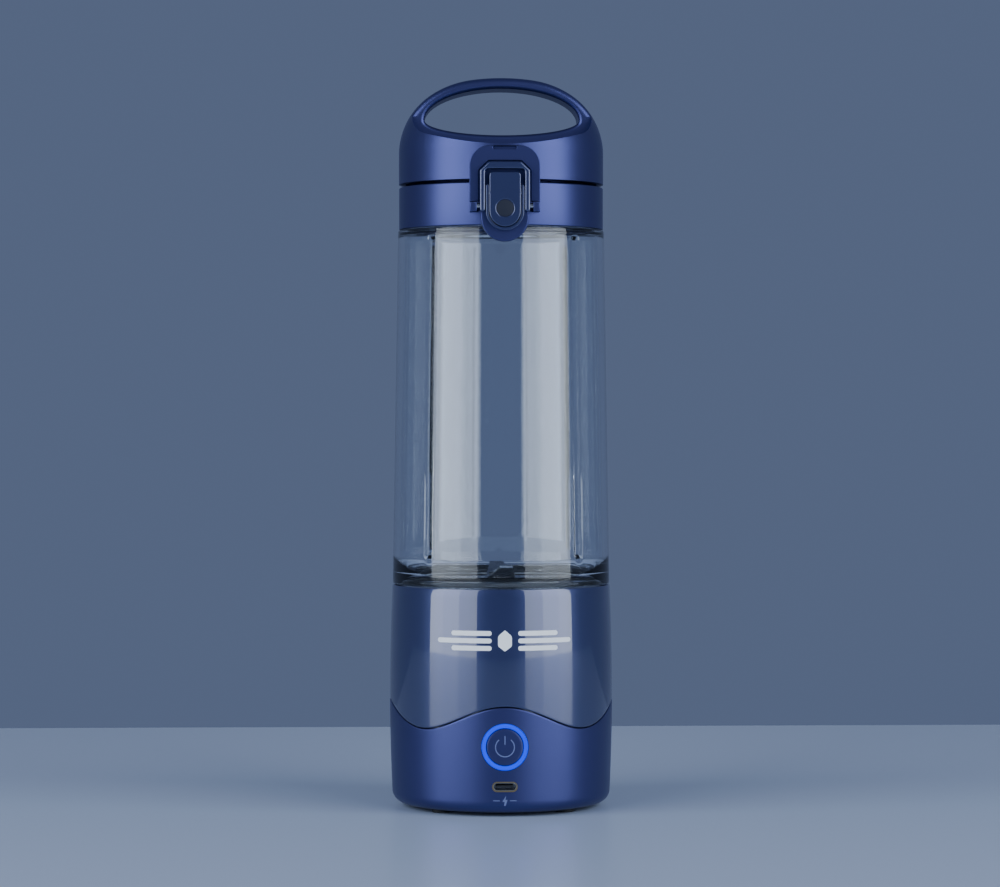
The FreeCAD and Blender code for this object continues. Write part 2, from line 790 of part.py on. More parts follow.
def motor():
    """Motor can, end cap, shaft, the plate that holds it, and the coupling to the blade shaft."""
    can = new_body("motor_can")
    inner = "motor_radius - motor_wall"
    loop = [
        ("motor_shaft_radius + rest_gap", "motor_top - motor_wall"),
        (inner, "motor_top - motor_wall"),
        (inner, "motor_bottom"),
        ("motor_radius", "motor_bottom"),
        ("motor_radius", "motor_top"),
        ("motor_shaft_radius + rest_gap", "motor_top"),
    ]
    turned(can, [loop])
    keep(can, "motor_can")

    cap = new_body("motor_end_cap")
    disc = [("circle", "0", "0", f"{inner} - slip_gap")]
    block(cap, "XY_Plane", disc, "motor_bottom", "motor_bottom + motor_cap_thickness")
    keep(cap, "motor_end_cap")

    foot = "motor_bottom + motor_cap_thickness + shaft_foot"
    shaft = feature("Part::Cylinder", "motor_shaft", Radius="motor_shaft_radius",
                    Height=f"motor_shaft_top - ({foot})")
    keep(place(shaft, z=foot), "motor_shaft")

    bracket = new_body("motor_bracket")
    plate = [("circle", "0", "0", "bracket_radius")]
    block(bracket, "XY_Plane", plate, "motor_top + slip_gap", "bracket_top")
    below, above = "motor_top - overcut", "bracket_top + overcut"
    middle = [("circle", "0", "0", "1.25 * coupling_radius")]
    block(bracket, "XY_Plane", middle, below, above, removes=True)
    screw_places = ring_of(3, 30, "post_circle")
    holes = [("circle", x, y, "bracket_screw_radius + rest_gap") for x, y in screw_places]
    block(bracket, "XY_Plane", holes, below, above, removes=True)
    for x in ("-cell_offset", "cell_offset"):
        room = [("circle", x, "0", "cell_radius + free_gap")]
        block(bracket, "XY_Plane", room, below, above, removes=True)
    keep(bracket, "motor_bracket")

    screws = []
    head_z = "motor_top + slip_gap - bracket_screw_head"
    for n, (x, y) in enumerate(screw_places, 1):
        head = feature("Part::Cylinder", f"bracket_screw_head_{n}", Radius="2 * bracket_screw_radius",
                       Height="bracket_screw_head")
        shank = feature("Part::Cylinder", f"bracket_screw_shank_{n}", Radius="bracket_screw_radius",
                        Height="bracket_screw_head + bracket_thickness + bracket_screw_length")
        for piece in (head, shank):
            place(piece, x, y, head_z)
        screws.append(joined(f"bracket_screw_{n}", head, shank))
    keep(group("bracket_screws", screws), "bracket_screws")

    coupling = new_body("drive_coupling")
    sleeve = [
        ("motor_shaft_radius", "bracket_top + 1"),
        ("coupling_radius", "bracket_top + 1"),
        ("coupling_radius", "boss_bottom - 1"),
        ("shaft_radius", "boss_bottom - 1"),
        ("shaft_radius", "motor_shaft_top + rest_gap"),
        ("motor_shaft_radius", "motor_shaft_top + rest_gap"),
    ]
    turned(coupling, [sleeve])
    keep(coupling, "drive_coupling")


def blade_well():
    """Threaded well that the cup screws into, with the boss for the blade shaft."""
    well = new_body("cup_socket")
    loop = [
        ("bearing_radius", "boss_bottom"),
        ("boss_radius", "boss_bottom"),
        ("boss_radius", "well_under"),
        ("well_outer", "well_under"),
        ("well_outer", "seam - well_drop"),
        ("socket_inner", "seam - well_drop"),
        ("socket_inner", "ledge_z"),
        ("neck_inner + free_gap", "ledge_z"),
        ("neck_inner + free_gap", "well_bottom"),
        ("boss_radius", "well_bottom"),
        ("boss_radius", "boss_top"),
        ("seal_radius", "boss_top"),
        ("seal_radius", "boss_top - seal_length"),
        ("bearing_radius", "boss_top - seal_length"),
    ]
    turned(well, [loop])
    screw_places = ring_of(3, 30, "post_circle")
    posts = [("circle", x, y, "post_radius") for x, y in screw_places]
    block(well, "XY_Plane", posts, "bracket_top + slip_gap", "well_under + overcut")
    pilots = [("circle", x, y, "bracket_screw_radius + running_gap") for x, y in screw_places]
    pilot_top = "bracket_top + bracket_screw_length + overcut"
    block(well, "XY_Plane", pilots, "bracket_top", pilot_top, removes=True)
    thread(well, "socket_inner", False, "seam - cup_thread_drop - cup_pitch", "cup_pitch", 1)
    keep(well, "cup_socket")

    bore = ("circle", "0", "0", "shaft_radius + running_gap")
    bearing_bottoms = {
        "lower_bearing": "boss_bottom + rest_gap",
        "upper_bearing": "boss_top - seal_length - bearing_length - slip_gap",
    }
    for label, bottom in bearing_bottoms.items():
        bearing = new_body(label)
        rings = [("circle", "0", "0", "bearing_radius - press_gap"), bore]
        block(bearing, "XY_Plane", rings, bottom, f"{bottom} + bearing_length")
        keep(bearing, label)
    seal = new_body("shaft_seal")
    rings = [("circle", "0", "0", "seal_radius - press_gap"), bore]
    block(seal, "XY_Plane", rings, "boss_top - seal_length + slip_gap", "boss_top")
    keep(seal, "shaft_seal")

    gasket = new_body("base_gasket")
    rings = [("circle", "0", "0", "neck_radius"), ("circle", "0", "0", "neck_inner")]
    top = "neck_bottom - running_gap"
    block(gasket, "XY_Plane", rings, f"{top} - cup_gasket_height", top)
    keep(gasket, "base_gasket")


def blade(label, level, tip_rise, turn):
    """Two-armed blade: a flat middle, and arms bent up or down and ground to a point."""
    body = new_body(label)
    tip = f"{level} + ({tip_rise})"
    strip = [
        ("-blade_reach", tip),
        ("-blade_flat", level),
        ("blade_flat", level),
        ("blade_reach", tip),
        ("blade_reach", f"{tip} + blade_thickness"),
        ("blade_flat", f"{level} + blade_thickness"),
        ("-blade_flat", f"{level} + blade_thickness"),
        ("-blade_reach", f"{tip} + blade_thickness"),
    ]
    block(body, "XZ_Plane", [strip], "-blade_width / 2", "blade_width / 2")
    half, edge = "blade_width / 2", "blade_reach + overcut"
    outside = f"{half} + overcut"
    waste = [
        [("blade_flat", f"-({outside})"), ("blade_flat", f"-{half}"), (edge, "-blade_point"),
         (edge, f"-({outside})")],
        [("blade_flat", outside), ("blade_flat", half), (edge, f"{half} - 2 * blade_point"), (edge, outside)],
    ]
    for loop in waste:
        for flip in (loop, [(f"-({x})", f"-({y})") for x, y in loop]):
            block(body, "XY_Plane", [flip], f"{level} - blade_reach", f"{level} + blade_reach", removes=True)
    bore = [("circle", "0", "0", "shaft_radius + press_gap")]
    block(body, "XY_Plane", bore, f"{level} - overcut", f"{level} + blade_thickness + overcut", removes=True)
    body.Placement = Placement(Vector(), Rotation(Vector(0, 0, 1), turn))
    keep(body, label)


def blades():
    """Blade shaft with its shoulder, two blades and the nut that clamps them."""
    shaft = new_body("blade_shaft")
    loop = [
        ("0", "motor_shaft_top + free_gap"),
        ("shaft_radius", "motor_shaft_top + free_gap"),
        ("shaft_radius", "boss_top + shoulder_gap"),
        ("shaft_radius + shoulder_width", "boss_top + shoulder_gap"),
        ("shaft_radius + shoulder_width", "lower_blade_z"),
        ("shaft_radius", "lower_blade_z"),
        ("shaft_radius", "shaft_top"),
        ("0", "shaft_top"),
    ]
    turned(shaft, [loop])
    keep(shaft, "blade_shaft")
    blade("lower_blade", "lower_blade_z", "-lower_blade_fall", 0)
    blade("upper_blade", "upper_blade_z", "upper_blade_rise", 90)
    spacer = new_body("blade_spacer")
    rings = [("circle", "0", "0", radius) for radius in ("shaft_radius + shoulder_width", "shaft_radius")]
    block(spacer, "XY_Plane", rings, "lower_blade_z + blade_thickness", "upper_blade_z")
    keep(spacer, "blade_spacer")

    nut = new_body("blade_nut")
    flat = "nut_width / 2"
    hexagon = ring_of(6, 0, f"({flat}) / cos(30 deg)")
    block(nut, "XY_Plane", [hexagon], "nut_z", "nut_z + nut_height")
    dome = [
        ("0", "nut_z + nut_height"),
        (f"{flat} - rim_break", "nut_z + nut_height", "nut_dome / 3"),
        ("0", "nut_z + nut_height + nut_dome"),
    ]
    turned(nut, [dome])
    bore = [("circle", "0", "0", "shaft_radius")]
    block(nut, "XY_Plane", bore, "nut_z - overcut", "shaft_top + slip_gap", removes=True)
    keep(nut, "blade_nut")


# ---- cup ----------------------------------------------------------------------------------------


def blending_cup():
    """Clear tapered cup with a threaded neck at each end and four ribs inside."""
    cup = new_body("blending_cup")
    wall = [
        ("neck_inner", "neck_bottom"),
        ("neck_radius", "neck_bottom"),
        ("neck_radius", "seam + rest_gap"),
        ("cup_foot_radius", "seam + rest_gap"),
        ("cup_top_radius", "cup_shoulder"),
        ("mouth_radius", "cup_shoulder"),
        ("mouth_radius", "mouth_top"),
        ("mouth_inner", "mouth_top"),
        ("mouth_inner", "cup_shoulder + 1"),
        ("cup_top_radius - cup_wall", "cup_shoulder - cup_shoulder_depth"),
        ("cup_foot_radius - cup_wall", "seam + rest_gap + cup_floor_rise"),
        ("neck_inner", "seam + rest_gap + 1"),
    ]
    turned(cup, [wall])
    thread(cup, "neck_radius", True, "seam - cup_thread_drop - cup_pitch / 2", "cup_pitch", 1)
    thread(cup, "mouth_radius", True, "collar_bottom + lid_thread_rise", "lid_pitch", 1.25)
    foot_z = "seam + rest_gap + cup_floor_rise + rib_inset"
    top_z = "cup_shoulder - 1.2 * cup_shoulder_depth"
    rib = [
        ("cup_foot_radius - cup_wall - rib_depth", foot_z),
        ("cup_foot_radius - cup_wall + rib_bite", foot_z),
        ("cup_top_radius - cup_wall + rib_bite", top_z, "rib_depth / 2"),
        ("cup_top_radius - cup_wall - rib_depth", top_z),
    ]
    first = block(cup, "XZ_Plane", [rib], "-rib_width / 2", "rib_width / 2")
    pattern = cup.newObject("PartDesign::PolarPattern", "ribs")
    pattern.Originals = [first]
    upright = next(f for f in cup.Origin.OriginFeatures if f.Role == "Z_Axis")
    pattern.Axis = (upright, [""])
    pattern.Angle = 360
    pattern.Occurrences = 4
    cup.Tip = pattern
    cup.Placement = Placement(Vector(), Rotation(Vector(0, 0, 1), 45))
    keep(cup, "blending_cup")

    gasket = new_body("lid_gasket")
    rings = [("circle", "0", "0", "mouth_radius"), ("circle", "0", "0", "mouth_inner")]
    top = "deck_under - running_gap"
    block(gasket, "XY_Plane", rings, f"{top} - lid_gasket_height", top)
    keep(gasket, "lid_gasket")


# ---- lid ----------------------------------------------------------------------------------------


def lid_collar():
    """Screw-on collar with deck, spout, thread, hinge lugs and the bracket of the latch."""
    collar = new_body("lid_collar")
    wall = [
        ("0", "deck_under"),
        ("collar_inner", "deck_under"),
        ("collar_inner", "collar_bottom"),
        ("collar_radius", "collar_bottom"),
        ("collar_radius", "collar_top - collar_chamfer"),
        ("collar_radius - collar_chamfer", "collar_top"),
        ("0", "collar_top"),
    ]
    turned(collar, [wall])
    spout = [("circle", "0", "-spout_offset", "spout_radius")]
    block(collar, "XY_Plane", spout, "deck_under", "spout_top")
    bore = [("circle", "0", "-spout_offset", "spout_radius - spout_wall")]
    block(collar, "XY_Plane", bore, "deck_under - overcut", "spout_top + overcut", removes=True)

    hinge_lugs(collar)
    latch_bracket(collar)
    start = "collar_bottom + lid_thread_rise + lid_pitch / 2"
    thread(collar, "collar_inner", False, start, "lid_pitch", 1.25)
    keep(collar, "lid_collar")


def hinge_lugs(collar):
    """Two barrels behind the collar, with room between them for the cap's knuckles."""
    seat = "collar_radius - lug_seat"
    arm = [
        (seat, "hinge_z - 2.6 * hinge_barrel"),
        ("hinge_y + 0.7 * hinge_barrel", "hinge_z - 0.7 * hinge_barrel"),
        ("hinge_y", "hinge_z"),
        (seat, "collar_top - collar_chamfer"),
    ]
    barrel_loop = [("circle", "hinge_y", "hinge_z", "hinge_barrel")]
    room = [("circle", "hinge_y", "hinge_z", "hinge_barrel + free_gap")]
    block(collar, "YZ_Plane", room, "-lug_inner", "lug_inner", removes=True)
    for low, high in (("lug_inner", "lug_outer"), ("-lug_outer", "-lug_inner")):
        block(collar, "YZ_Plane", [arm], low, high)
        block(collar, "YZ_Plane", barrel_loop, low, high)
    hole = [("circle", "hinge_y", "hinge_z", "hinge_pin_radius")]
    block(collar, "YZ_Plane", hole, "-(lug_outer + overcut)", "lug_outer + overcut", removes=True)


def latch_bracket(collar):
    """Round tab under the button, lugs beside it and ears for the lock ring's pins."""
    tab_z = "collar_bottom + tab_centre_rise"
    tab = [
        ("-tab_half_width", tab_z, "tab_half_width - 0.01"),
        ("tab_half_width", tab_z),
    ]
    block(collar, "XZ_Plane", [tab], "collar_radius - 1.4", "tab_front")
    plate = [
        ("-lug_half_width", "latch_foot", "lug_half_width - 0.01"),
        ("lug_half_width", "latch_foot"),
        ("lug_half_width", "latch_pivot_z + 3"),
        ("-lug_half_width", "latch_pivot_z + 3"),
    ]
    block(collar, "XZ_Plane", [plate], "collar_radius - 1", "latch_front - 0.6")
    ear_foot, ear_top = "ring_pivot_z - ring_foot", "ring_pivot_z + ear_top"
    ear_back, ear_front = "-(collar_radius - ear_seat)", "-(ring_pivot_y + ear_reach)"
    ear = [(ear_back, ear_top), (ear_front, ear_top), (ear_front, ear_foot), (ear_back, ear_foot)]
    for low, high in (("ear_inner", "ear_outer"), ("-ear_outer", "-ear_inner")):
        block(collar, "YZ_Plane", [ear], low, high)
    cup_room = [
        ("mouth_radius", "collar_bottom - collar_height"),
        ("cup_top_radius + 1.5 * free_gap", "collar_bottom - collar_height"),
        ("cup_top_radius + 1.5 * free_gap", "collar_bottom"),
        ("mouth_radius", "collar_bottom"),
    ]
    turned(collar, [cup_room], removes=True)
    half = "button_half_width + button_side_gap"
    pocket = [
        (f"-({half})", "latch_foot", f"{half} - 0.01"),
        (half, "latch_foot"),
        (half, "latch_pivot_z + 4"),
        (f"-({half})", "latch_pivot_z + 4"),
    ]
    block(collar, "XZ_Plane", [pocket], "tab_pocket_floor", "latch_front + overcut", removes=True)
    upper = rectangle(f"-({half})", half, "latch_pivot_z - 1.4 * latch_boss_radius", "latch_pivot_z + 4")
    block(collar, "XZ_Plane", [upper], "collar_radius", "latch_front + overcut", removes=True)
    button_hole = [("circle", "-latch_pivot_y", "latch_pivot_z", "latch_pin_radius")]
    side = "lug_half_width + overcut"
    block(collar, "YZ_Plane", button_hole, f"-({side})", side, removes=True)
    ring_hole = [("circle", "-ring_pivot_y", "ring_pivot_z", "ring_pin_radius")]
    reach = "ear_outer + overcut"
    block(collar, "YZ_Plane", ring_hole, f"-({reach})", "-ring_half_width", removes=True)
    block(collar, "YZ_Plane", ring_hole, "ring_half_width", reach, removes=True)


def dome_profile():
    """Face of the cap's outline from its axis out: three arcs that run into each other."""
    top = size("cap_top")
    radii = [size(name) for name in ("dome_top_radius", "dome_mid_radius", "dome_side_radius")]
    angles = [0, size("dome_top_angle"), size("dome_mid_angle"), 90]
    place_now = Vector(0, 0, top)
    edges = []
    for radius, first, last in zip(radii, angles, angles[1:]):
        centre = place_now - Vector(math.sin(math.radians(first)), 0, math.cos(math.radians(first))) * radius
        spots = [
            centre + Vector(math.sin(math.radians(a)), 0, math.cos(math.radians(a))) * radius
            for a in (first, (first + last) / 2, last)
        ]
        edges.append(Part.Arc(*spots).toShape())
        place_now = spots[-1]
    bottom = size("cap_bottom")
    corners = [place_now, Vector(place_now.x, 0, bottom), Vector(0, 0, bottom), Vector(0, 0, top)]
    edges += [Part.makeLine(a, b) for a, b in zip(corners, corners[1:])]
    return Part.Face(Part.Wire(edges))


def half_ellipse(centre, half_width, rise):
    """Edge of the half ellipse above its centre, or below it where rise is negative."""
    side = Vector(half_width, 0, 0)
    height = Vector(0, 0, rise)
    ellipse = Part.Ellipse(centre + side, centre + height, centre)
    return Part.Edge(ellipse, 0, math.pi)


def handle_opening():
    """Solid through the handle: a tall half ellipse over a shallow one."""
    depth = size("handle_thickness") / 2 + 5
    centre = Vector(0, -depth, size("cap_top - opening_drop"))
    half = size("opening_width / 2")
    outline = Part.Wire([
        half_ellipse(centre, half, size("opening_rise")),
        half_ellipse(centre, half, -size("opening_fall")),
    ])
    return Part.Face(outline).extrude(Vector(0, 2 * depth, 0))


def trough_side():
    """Solid that is taken from the dome in front of the handle."""
    low = size("cap_top - trough_drop")
    corner_x, side_x = size("trough_corner_x"), size("trough_side_x")
    corner_z = low + size("trough_sag")
    side_z = corner_z + size("trough_side_rise")
    top_z = size("cap_top") + 5
    y = -size("handle_thickness") / 2
    lean = Vector(side_x - corner_x, 0, side_z - corner_z)
    outward = Vector(lean.z, 0, -lean.x).normalize()
    bend = Vector((corner_x + side_x) / 2, y, (corner_z + side_z) / 2) + outward * lean.Length * 0.17
    flip = Vector(-bend.x, y, bend.z)
    spots = {
        "left_side": Vector(-side_x, y, side_z),
        "left_corner": Vector(-corner_x, y, corner_z),
        "middle": Vector(0, y, low),
        "right_corner": Vector(corner_x, y, corner_z),
        "right_side": Vector(side_x, y, side_z),
        "right_top": Vector(side_x, y, top_z),
        "left_top": Vector(-side_x, y, top_z),
    }
    outline = Part.Wire([
        Part.Arc(spots["left_side"], flip, spots["left_corner"]).toShape(),
        Part.Arc(spots["left_corner"], spots["middle"], spots["right_corner"]).toShape(),
        Part.Arc(spots["right_corner"], bend, spots["right_side"]).toShape(),
        Part.makeLine(spots["right_side"], spots["right_top"]),
        Part.makeLine(spots["right_top"], spots["left_top"]),
        Part.makeLine(spots["left_top"], spots["left_side"]),
    ])
    return Part.Face(outline).extrude(Vector(0, -60, 0))


def cylinder_x(radius, low, high, y, z):
    """Cylinder along X."""
    return Part.makeCylinder(radius, high - low, Vector(low, y, z), Vector(1, 0, 0))


def hood():
    """Arch-shaped plate on the cap's front, before its middle is cut out."""
    half, corner = size("hood_half_width"), size("hood_corner")
    low, high = size("cap_bottom - hood_leg"), size("hood_top")
    front = size("hood_front")
    plate = Part.makeBox(2 * half, 12, high - low, Vector(-half, -front, low))
    upright = [
        edge for edge in plate.Edges
        if edge.BoundBox.XLength < 0.1 and edge.BoundBox.ZLength < 0.1 and edge.BoundBox.ZMax > high - 0.1
    ]
    return plate.makeFillet(corner, upright)


def cap_blank():
    """Dome hollowed in front of and behind a handle slab whose long edges are rounded."""
    dome = dome_profile().revolve(Vector(), Vector(0, 0, 1), 360)
    half = size("handle_thickness") / 2
    wide = 2 * size("collar_radius")
    bottom = size("cap_bottom")
    slab = dome.common(Part.makeBox(wide, 2 * half, wide, Vector(-wide / 2, -half, bottom - 1)))
    rims = [
        edge for edge in slab.Edges
        if edge.BoundBox.YLength < 0.01
        and abs(abs(edge.BoundBox.YMin) - half) < 0.01
        and edge.BoundBox.ZMax > bottom + 0.5
    ]
    slab = slab.makeFillet(size("handle_round"), rims)
    front = trough_side()
    back = front.copy()
    back.rotate(Vector(), Vector(0, 0, 1), 180)
    shoulder = size("cap_top - trough_drop + trough_sag + trough_side_rise") + 1
    above = Part.makeBox(wide, wide, wide, Vector(-wide / 2, -wide / 2, shoulder))
    return dome.cut(front).cut(back).cut(above).fuse(slab)


def flip_cap():
    """Dome with its carrying handle, front arch and rear knuckles.

    Its half ellipses, and its edges rounded after cutting, don't fit a sketch.
    """
    solid = cap_blank().cut(handle_opening())
    width = size("opening_width")
    rims = [
        edge for edge in solid.Edges
        if edge.BoundBox.YLength < 0.01 and abs(edge.BoundBox.XLength - width) < 0.1
    ]
    solid = solid.makeFillet(size("handle_edge"), rims)

    hinge_y, hinge_z = size("hinge_y"), size("hinge_z")
    barrel_radius = size("hinge_barrel")
    solid = solid.fuse(hood())
    seat = size("collar_radius - lug_seat")
    inner, outer = size("knuckle_inner"), size("knuckle_outer")
    for low_x in (inner, -outer):
        high_x = low_x + outer - inner
        spots = [
            Vector(low_x, seat, size("cap_bottom")),
            Vector(low_x, hinge_y, hinge_z),
            Vector(low_x, hinge_y + 0.7 * barrel_radius, hinge_z + 0.7 * barrel_radius),
            Vector(low_x, seat, hinge_z + 2.6 * barrel_radius),
        ]
        arm = Part.Face(Part.makePolygon(spots + spots[:1])).extrude(Vector(high_x - low_x, 0, 0))
        solid = solid.fuse(arm).fuse(cylinder_x(barrel_radius, low_x, high_x, hinge_y, hinge_z))
    room = size("hinge_barrel + free_gap")
    inside, outside = size("lug_inner - free_gap"), size("lug_outer + free_gap")
    for low_x, high_x in ((inside, outside), (-outside, -inside)):
        solid = solid.cut(cylinder_x(room, low_x, high_x, hinge_y, hinge_z))
    spring_room = size("spring_radius + spring_wire + free_gap")
    solid = solid.cut(cylinder_x(spring_room, -inner, inner, hinge_y, hinge_z))
    pin_room = size("hinge_pin_radius + running_gap")
    solid = solid.cut(cylinder_x(pin_room, -outside, outside, hinge_y, hinge_z))

    bottom = size("cap_bottom")
    collar_room = Part.makeCylinder(size("collar_radius + free_gap"), 30, Vector(0, 0, bottom - 30))
    ceiling = size("cap_ceiling")
    cavity = Part.makeCylinder(size("cap_inner"), ceiling - bottom + 5, Vector(0, 0, bottom - 5))
    gap = size("hood_gap_half")
    rise = size("cap_bottom + hood_gap_height")
    deep = 20
    floor = size("hood_gap_floor")
    recess = Part.makeBox(2 * gap, deep, rise - bottom + deep, Vector(-gap, -floor - deep, bottom - deep))
    below = Part.makeBox(2 * gap, 1.5 * deep, deep, Vector(-gap, -3 * deep, bottom - deep))
    width, height, drop = size("slot_width"), size("slot_height"), size("slot_drop")
    slot_corner = Vector(-width / 2, -size("hood_front") - 0.2, size("hood_top") - drop)
    slot = Part.makeBox(width, 1.2, height, slot_corner)
    for tool in (collar_room, cavity, recess, below, slot):
        solid = solid.cut(tool)
    cap = doc.addObject("Part::Feature", "flip_cap")
    cap.Shape = solid.removeSplitter().Solids[0] if len(solid.Solids) == 1 else solid
    keep(cap, "flip_cap")


def spout_plug():
    """Soft plug under the cap that closes the spout."""
    plug = new_body("spout_plug")
    flange = [("circle", "0", "-spout_offset", "plug_radius")]
    block(plug, "XY_Plane", flange, "spout_top + slip_gap", "cap_ceiling")
    boss = [("circle", "0", "-spout_offset", "spout_radius - spout_wall - free_gap")]
    block(plug, "XY_Plane", boss, "spout_top - plug_entry", "spout_top + slip_gap")
    keep(plug, "spout_plug")


def hinge_hardware():
    """Pin and torsion spring of the cap's hinge."""
    pin = feature("Part::Cylinder", "hinge_pin", Radius="hinge_pin_radius", Height="2 * lug_outer")
    pin.Placement = Placement(Vector(), Rotation(Vector(0, 1, 0), 90))
    keep(place(pin, "-lug_outer", "hinge_y", "hinge_z"), "hinge_pin")
    spring = coil("hinge_spring", "spring_radius", "spring_wire", "spring_pitch", 5)
    spring.Placement = Placement(Vector(), Rotation(Vector(0, 1, 0), 90))
    keep(place(spring, "-2.5 * spring_pitch", "hinge_y", "hinge_z"), "hinge_spring")


def latch_button():
    """Rocking button: pressed at its dimple, its top end swings out."""
    button = new_body("latch_button")
    top_z = "collar_bottom + latch_top_rise"
    half = "button_half_width"
    face = [
        (f"-{half}", "latch_foot", f"{half} - 0.01"),
        (half, "latch_foot"),
        (half, f"{top_z} - 1"),
        (f"{half} - 1", top_z),
        (f"1 - {half}", top_z),
        (f"-{half}", f"{top_z} - 1"),
    ]
    block(button, "XZ_Plane", [face], "latch_back", "latch_front")
    hook = rectangle(f"1 - {half}", f"{half} - 1", f"{top_z} - latch_hook_height", top_z)
    block(button, "XZ_Plane", [hook], "latch_hook_back", "latch_back")
    boss = [("circle", "-latch_pivot_y", "latch_pivot_z", "latch_boss_radius")]
    block(button, "YZ_Plane", boss, f"-{half}", half)
    hole = [("circle", "-latch_pivot_y", "latch_pivot_z", "latch_pin_radius + running_gap")]
    block(button, "YZ_Plane", hole, f"-{half} - overcut", f"{half} + overcut", removes=True)
    dimple = [("circle", "0", "collar_bottom + dimple_rise", "dimple_radius")]
    block(button, "XZ_Plane", dimple, "latch_front - dimple_depth", "latch_front + overcut", removes=True)
    seat = [("circle", "0", "latch_spring_z", "latch_spring_radius + latch_spring_wire + free_gap")]
    block(button, "XZ_Plane", seat, "latch_back - overcut", "latch_back + spring_seat", removes=True)
    keep(button, "latch_button")

    pin = feature("Part::Cylinder", "latch_button_pin", Radius="latch_pin_radius",
                  Height="2 * lug_half_width")
    pin.Placement = Placement(Vector(), Rotation(Vector(0, 1, 0), 90))
    keep(place(pin, "-lug_half_width", "-latch_pivot_y", "latch_pivot_z"), "latch_button_pin")

    spring = coil("latch_spring", "latch_spring_radius", "latch_spring_wire", "latch_spring_pitch", 4)
    spring.Placement = Placement(Vector(), Rotation(Vector(1, 0, 0), 90))
    seat = "-(tab_pocket_floor + latch_spring_wire + running_gap)"
    keep(place(spring, "0", seat, "latch_spring_z"), "latch_spring")


def lock_ring():
    """Upside-down U that swings over the button, and the two pins it turns on."""
    ring = new_body("lock_ring")
    foot, top = "ring_pivot_z - ring_foot", "ring_pivot_z + ring_rise"
    outer, inner = "ring_half_width", "ring_half_width - ring_leg"
    step, bar = "ring_inner_corner", f"{top} - ring_bar"
    outline = [
        (f"-({outer})", foot),
        (f"-({inner})", foot),
        (f"-({inner})", f"{bar} - {step}"),
        (f"-({inner} - {step})", bar),
        (f"{inner} - {step}", bar),
        (inner, f"{bar} - {step}"),
        (inner, foot),
        (outer, foot),
        (outer, f"{top} - ring_corner"),
        (f"{outer} - ring_corner", top),
        (f"-({outer} - ring_corner)", top),
        (f"-({outer})", f"{top} - ring_corner"),
    ]
    block(ring, "XZ_Plane", [outline], "ring_back", "ring_front")
    hole = [("circle", "-ring_pivot_y", "ring_pivot_z", "ring_pin_radius + running_gap")]
    block(ring, "YZ_Plane", hole, f"-({outer} + 1)", f"{outer} + 1", removes=True)
    keep(ring, "lock_ring")

    pins = []
    for n, x in enumerate(("ring_half_width - ring_leg", "-ear_outer"), 1):
        pin = feature("Part::Cylinder", f"lock_ring_pin_{n}", Radius="ring_pin_radius",
                      Height="ear_outer - ring_half_width + ring_leg")
        pin.Placement = Placement(Vector(), Rotation(Vector(0, 1, 0), 90))
        pins.append(place(pin, x, "-ring_pivot_y", "ring_pivot_z"))
    keep(group("lock_ring_pins", pins), "lock_ring_pins")


def check_and_write():
    """Stops on any failed object or bad shape, then writes each sub-part as a STEP file."""
    doc.recompute()
    for made in doc.Objects:
        if any(flag in made.State for flag in ("Invalid", "Error")):
            raise RuntimeError(f"{made.Label} failed: {made.State}")
    for part in PARTS:
        if part.Shape.isNull() or not part.Shape.isValid() or not part.Shape.Solids:
            raise RuntimeError(f"{part.Label} has no valid solid")
    os.makedirs("parts", exist_ok=True)
    for part in PARTS:
        part.Shape.exportStep(f"parts/{part.Label}.step")
        box = part.Shape.BoundBox
        print(f"{part.Label:20s} solids {len(part.Shape.Solids)}  volume {part.Shape.Volume:10.1f}  "
              f"z {box.ZMin:7.2f} to {box.ZMax:7.2f}")


BUILD_ORDER = (
    lower_housing, upper_housing, bottom_parts, front_controls, power_pack, motor, blade_well, blades,
    blending_cup, lid_collar, flip_cap, spout_plug, hinge_hardware, latch_button, lock_ring,
)
for build in BUILD_ORDER:
    build()
check_and_write()
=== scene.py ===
"""Portable blender: the looks of every piece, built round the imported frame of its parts."""

import json
import logging
import math
from collections.abc import Callable, Iterable
from dataclasses import dataclass
from enum import Enum

import bmesh
import bpy
from mathutils import Matrix, Vector


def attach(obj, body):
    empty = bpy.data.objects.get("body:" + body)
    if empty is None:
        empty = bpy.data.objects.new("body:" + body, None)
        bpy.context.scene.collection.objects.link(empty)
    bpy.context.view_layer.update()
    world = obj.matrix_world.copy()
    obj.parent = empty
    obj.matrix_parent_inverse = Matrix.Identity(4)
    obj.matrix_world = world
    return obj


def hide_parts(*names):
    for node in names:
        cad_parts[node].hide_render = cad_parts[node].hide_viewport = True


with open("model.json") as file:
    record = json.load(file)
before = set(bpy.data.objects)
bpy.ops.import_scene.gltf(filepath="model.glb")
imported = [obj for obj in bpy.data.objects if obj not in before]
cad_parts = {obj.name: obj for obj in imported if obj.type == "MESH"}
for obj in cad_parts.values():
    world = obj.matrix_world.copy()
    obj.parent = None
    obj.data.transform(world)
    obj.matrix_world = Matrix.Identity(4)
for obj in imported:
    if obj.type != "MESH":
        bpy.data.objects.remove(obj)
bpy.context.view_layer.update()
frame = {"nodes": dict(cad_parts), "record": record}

LOG = logging.getLogger("portable_blender")

Point = tuple[float, float]
Spot = tuple[float, float, float]
Mesh = bmesh.types.BMesh
Edge = bmesh.types.BMEdge

METRES = 0.001  # metres in a millimetre
ROUND = 256  # columns round a full turn
SHARP_FOLD = 0.6  # angle in radians from which an edge can be rounded
CORNER_CUT = 0.3  # depth of a rounded corner's middle, as a share of its width

# Corners of a spun ring, a finished piece and a cut one are joined when they are this near, in millimetres.
SPUN_WELD = 1e-4
PIECE_WELD = 1e-3
CUT_WELD = 2e-3

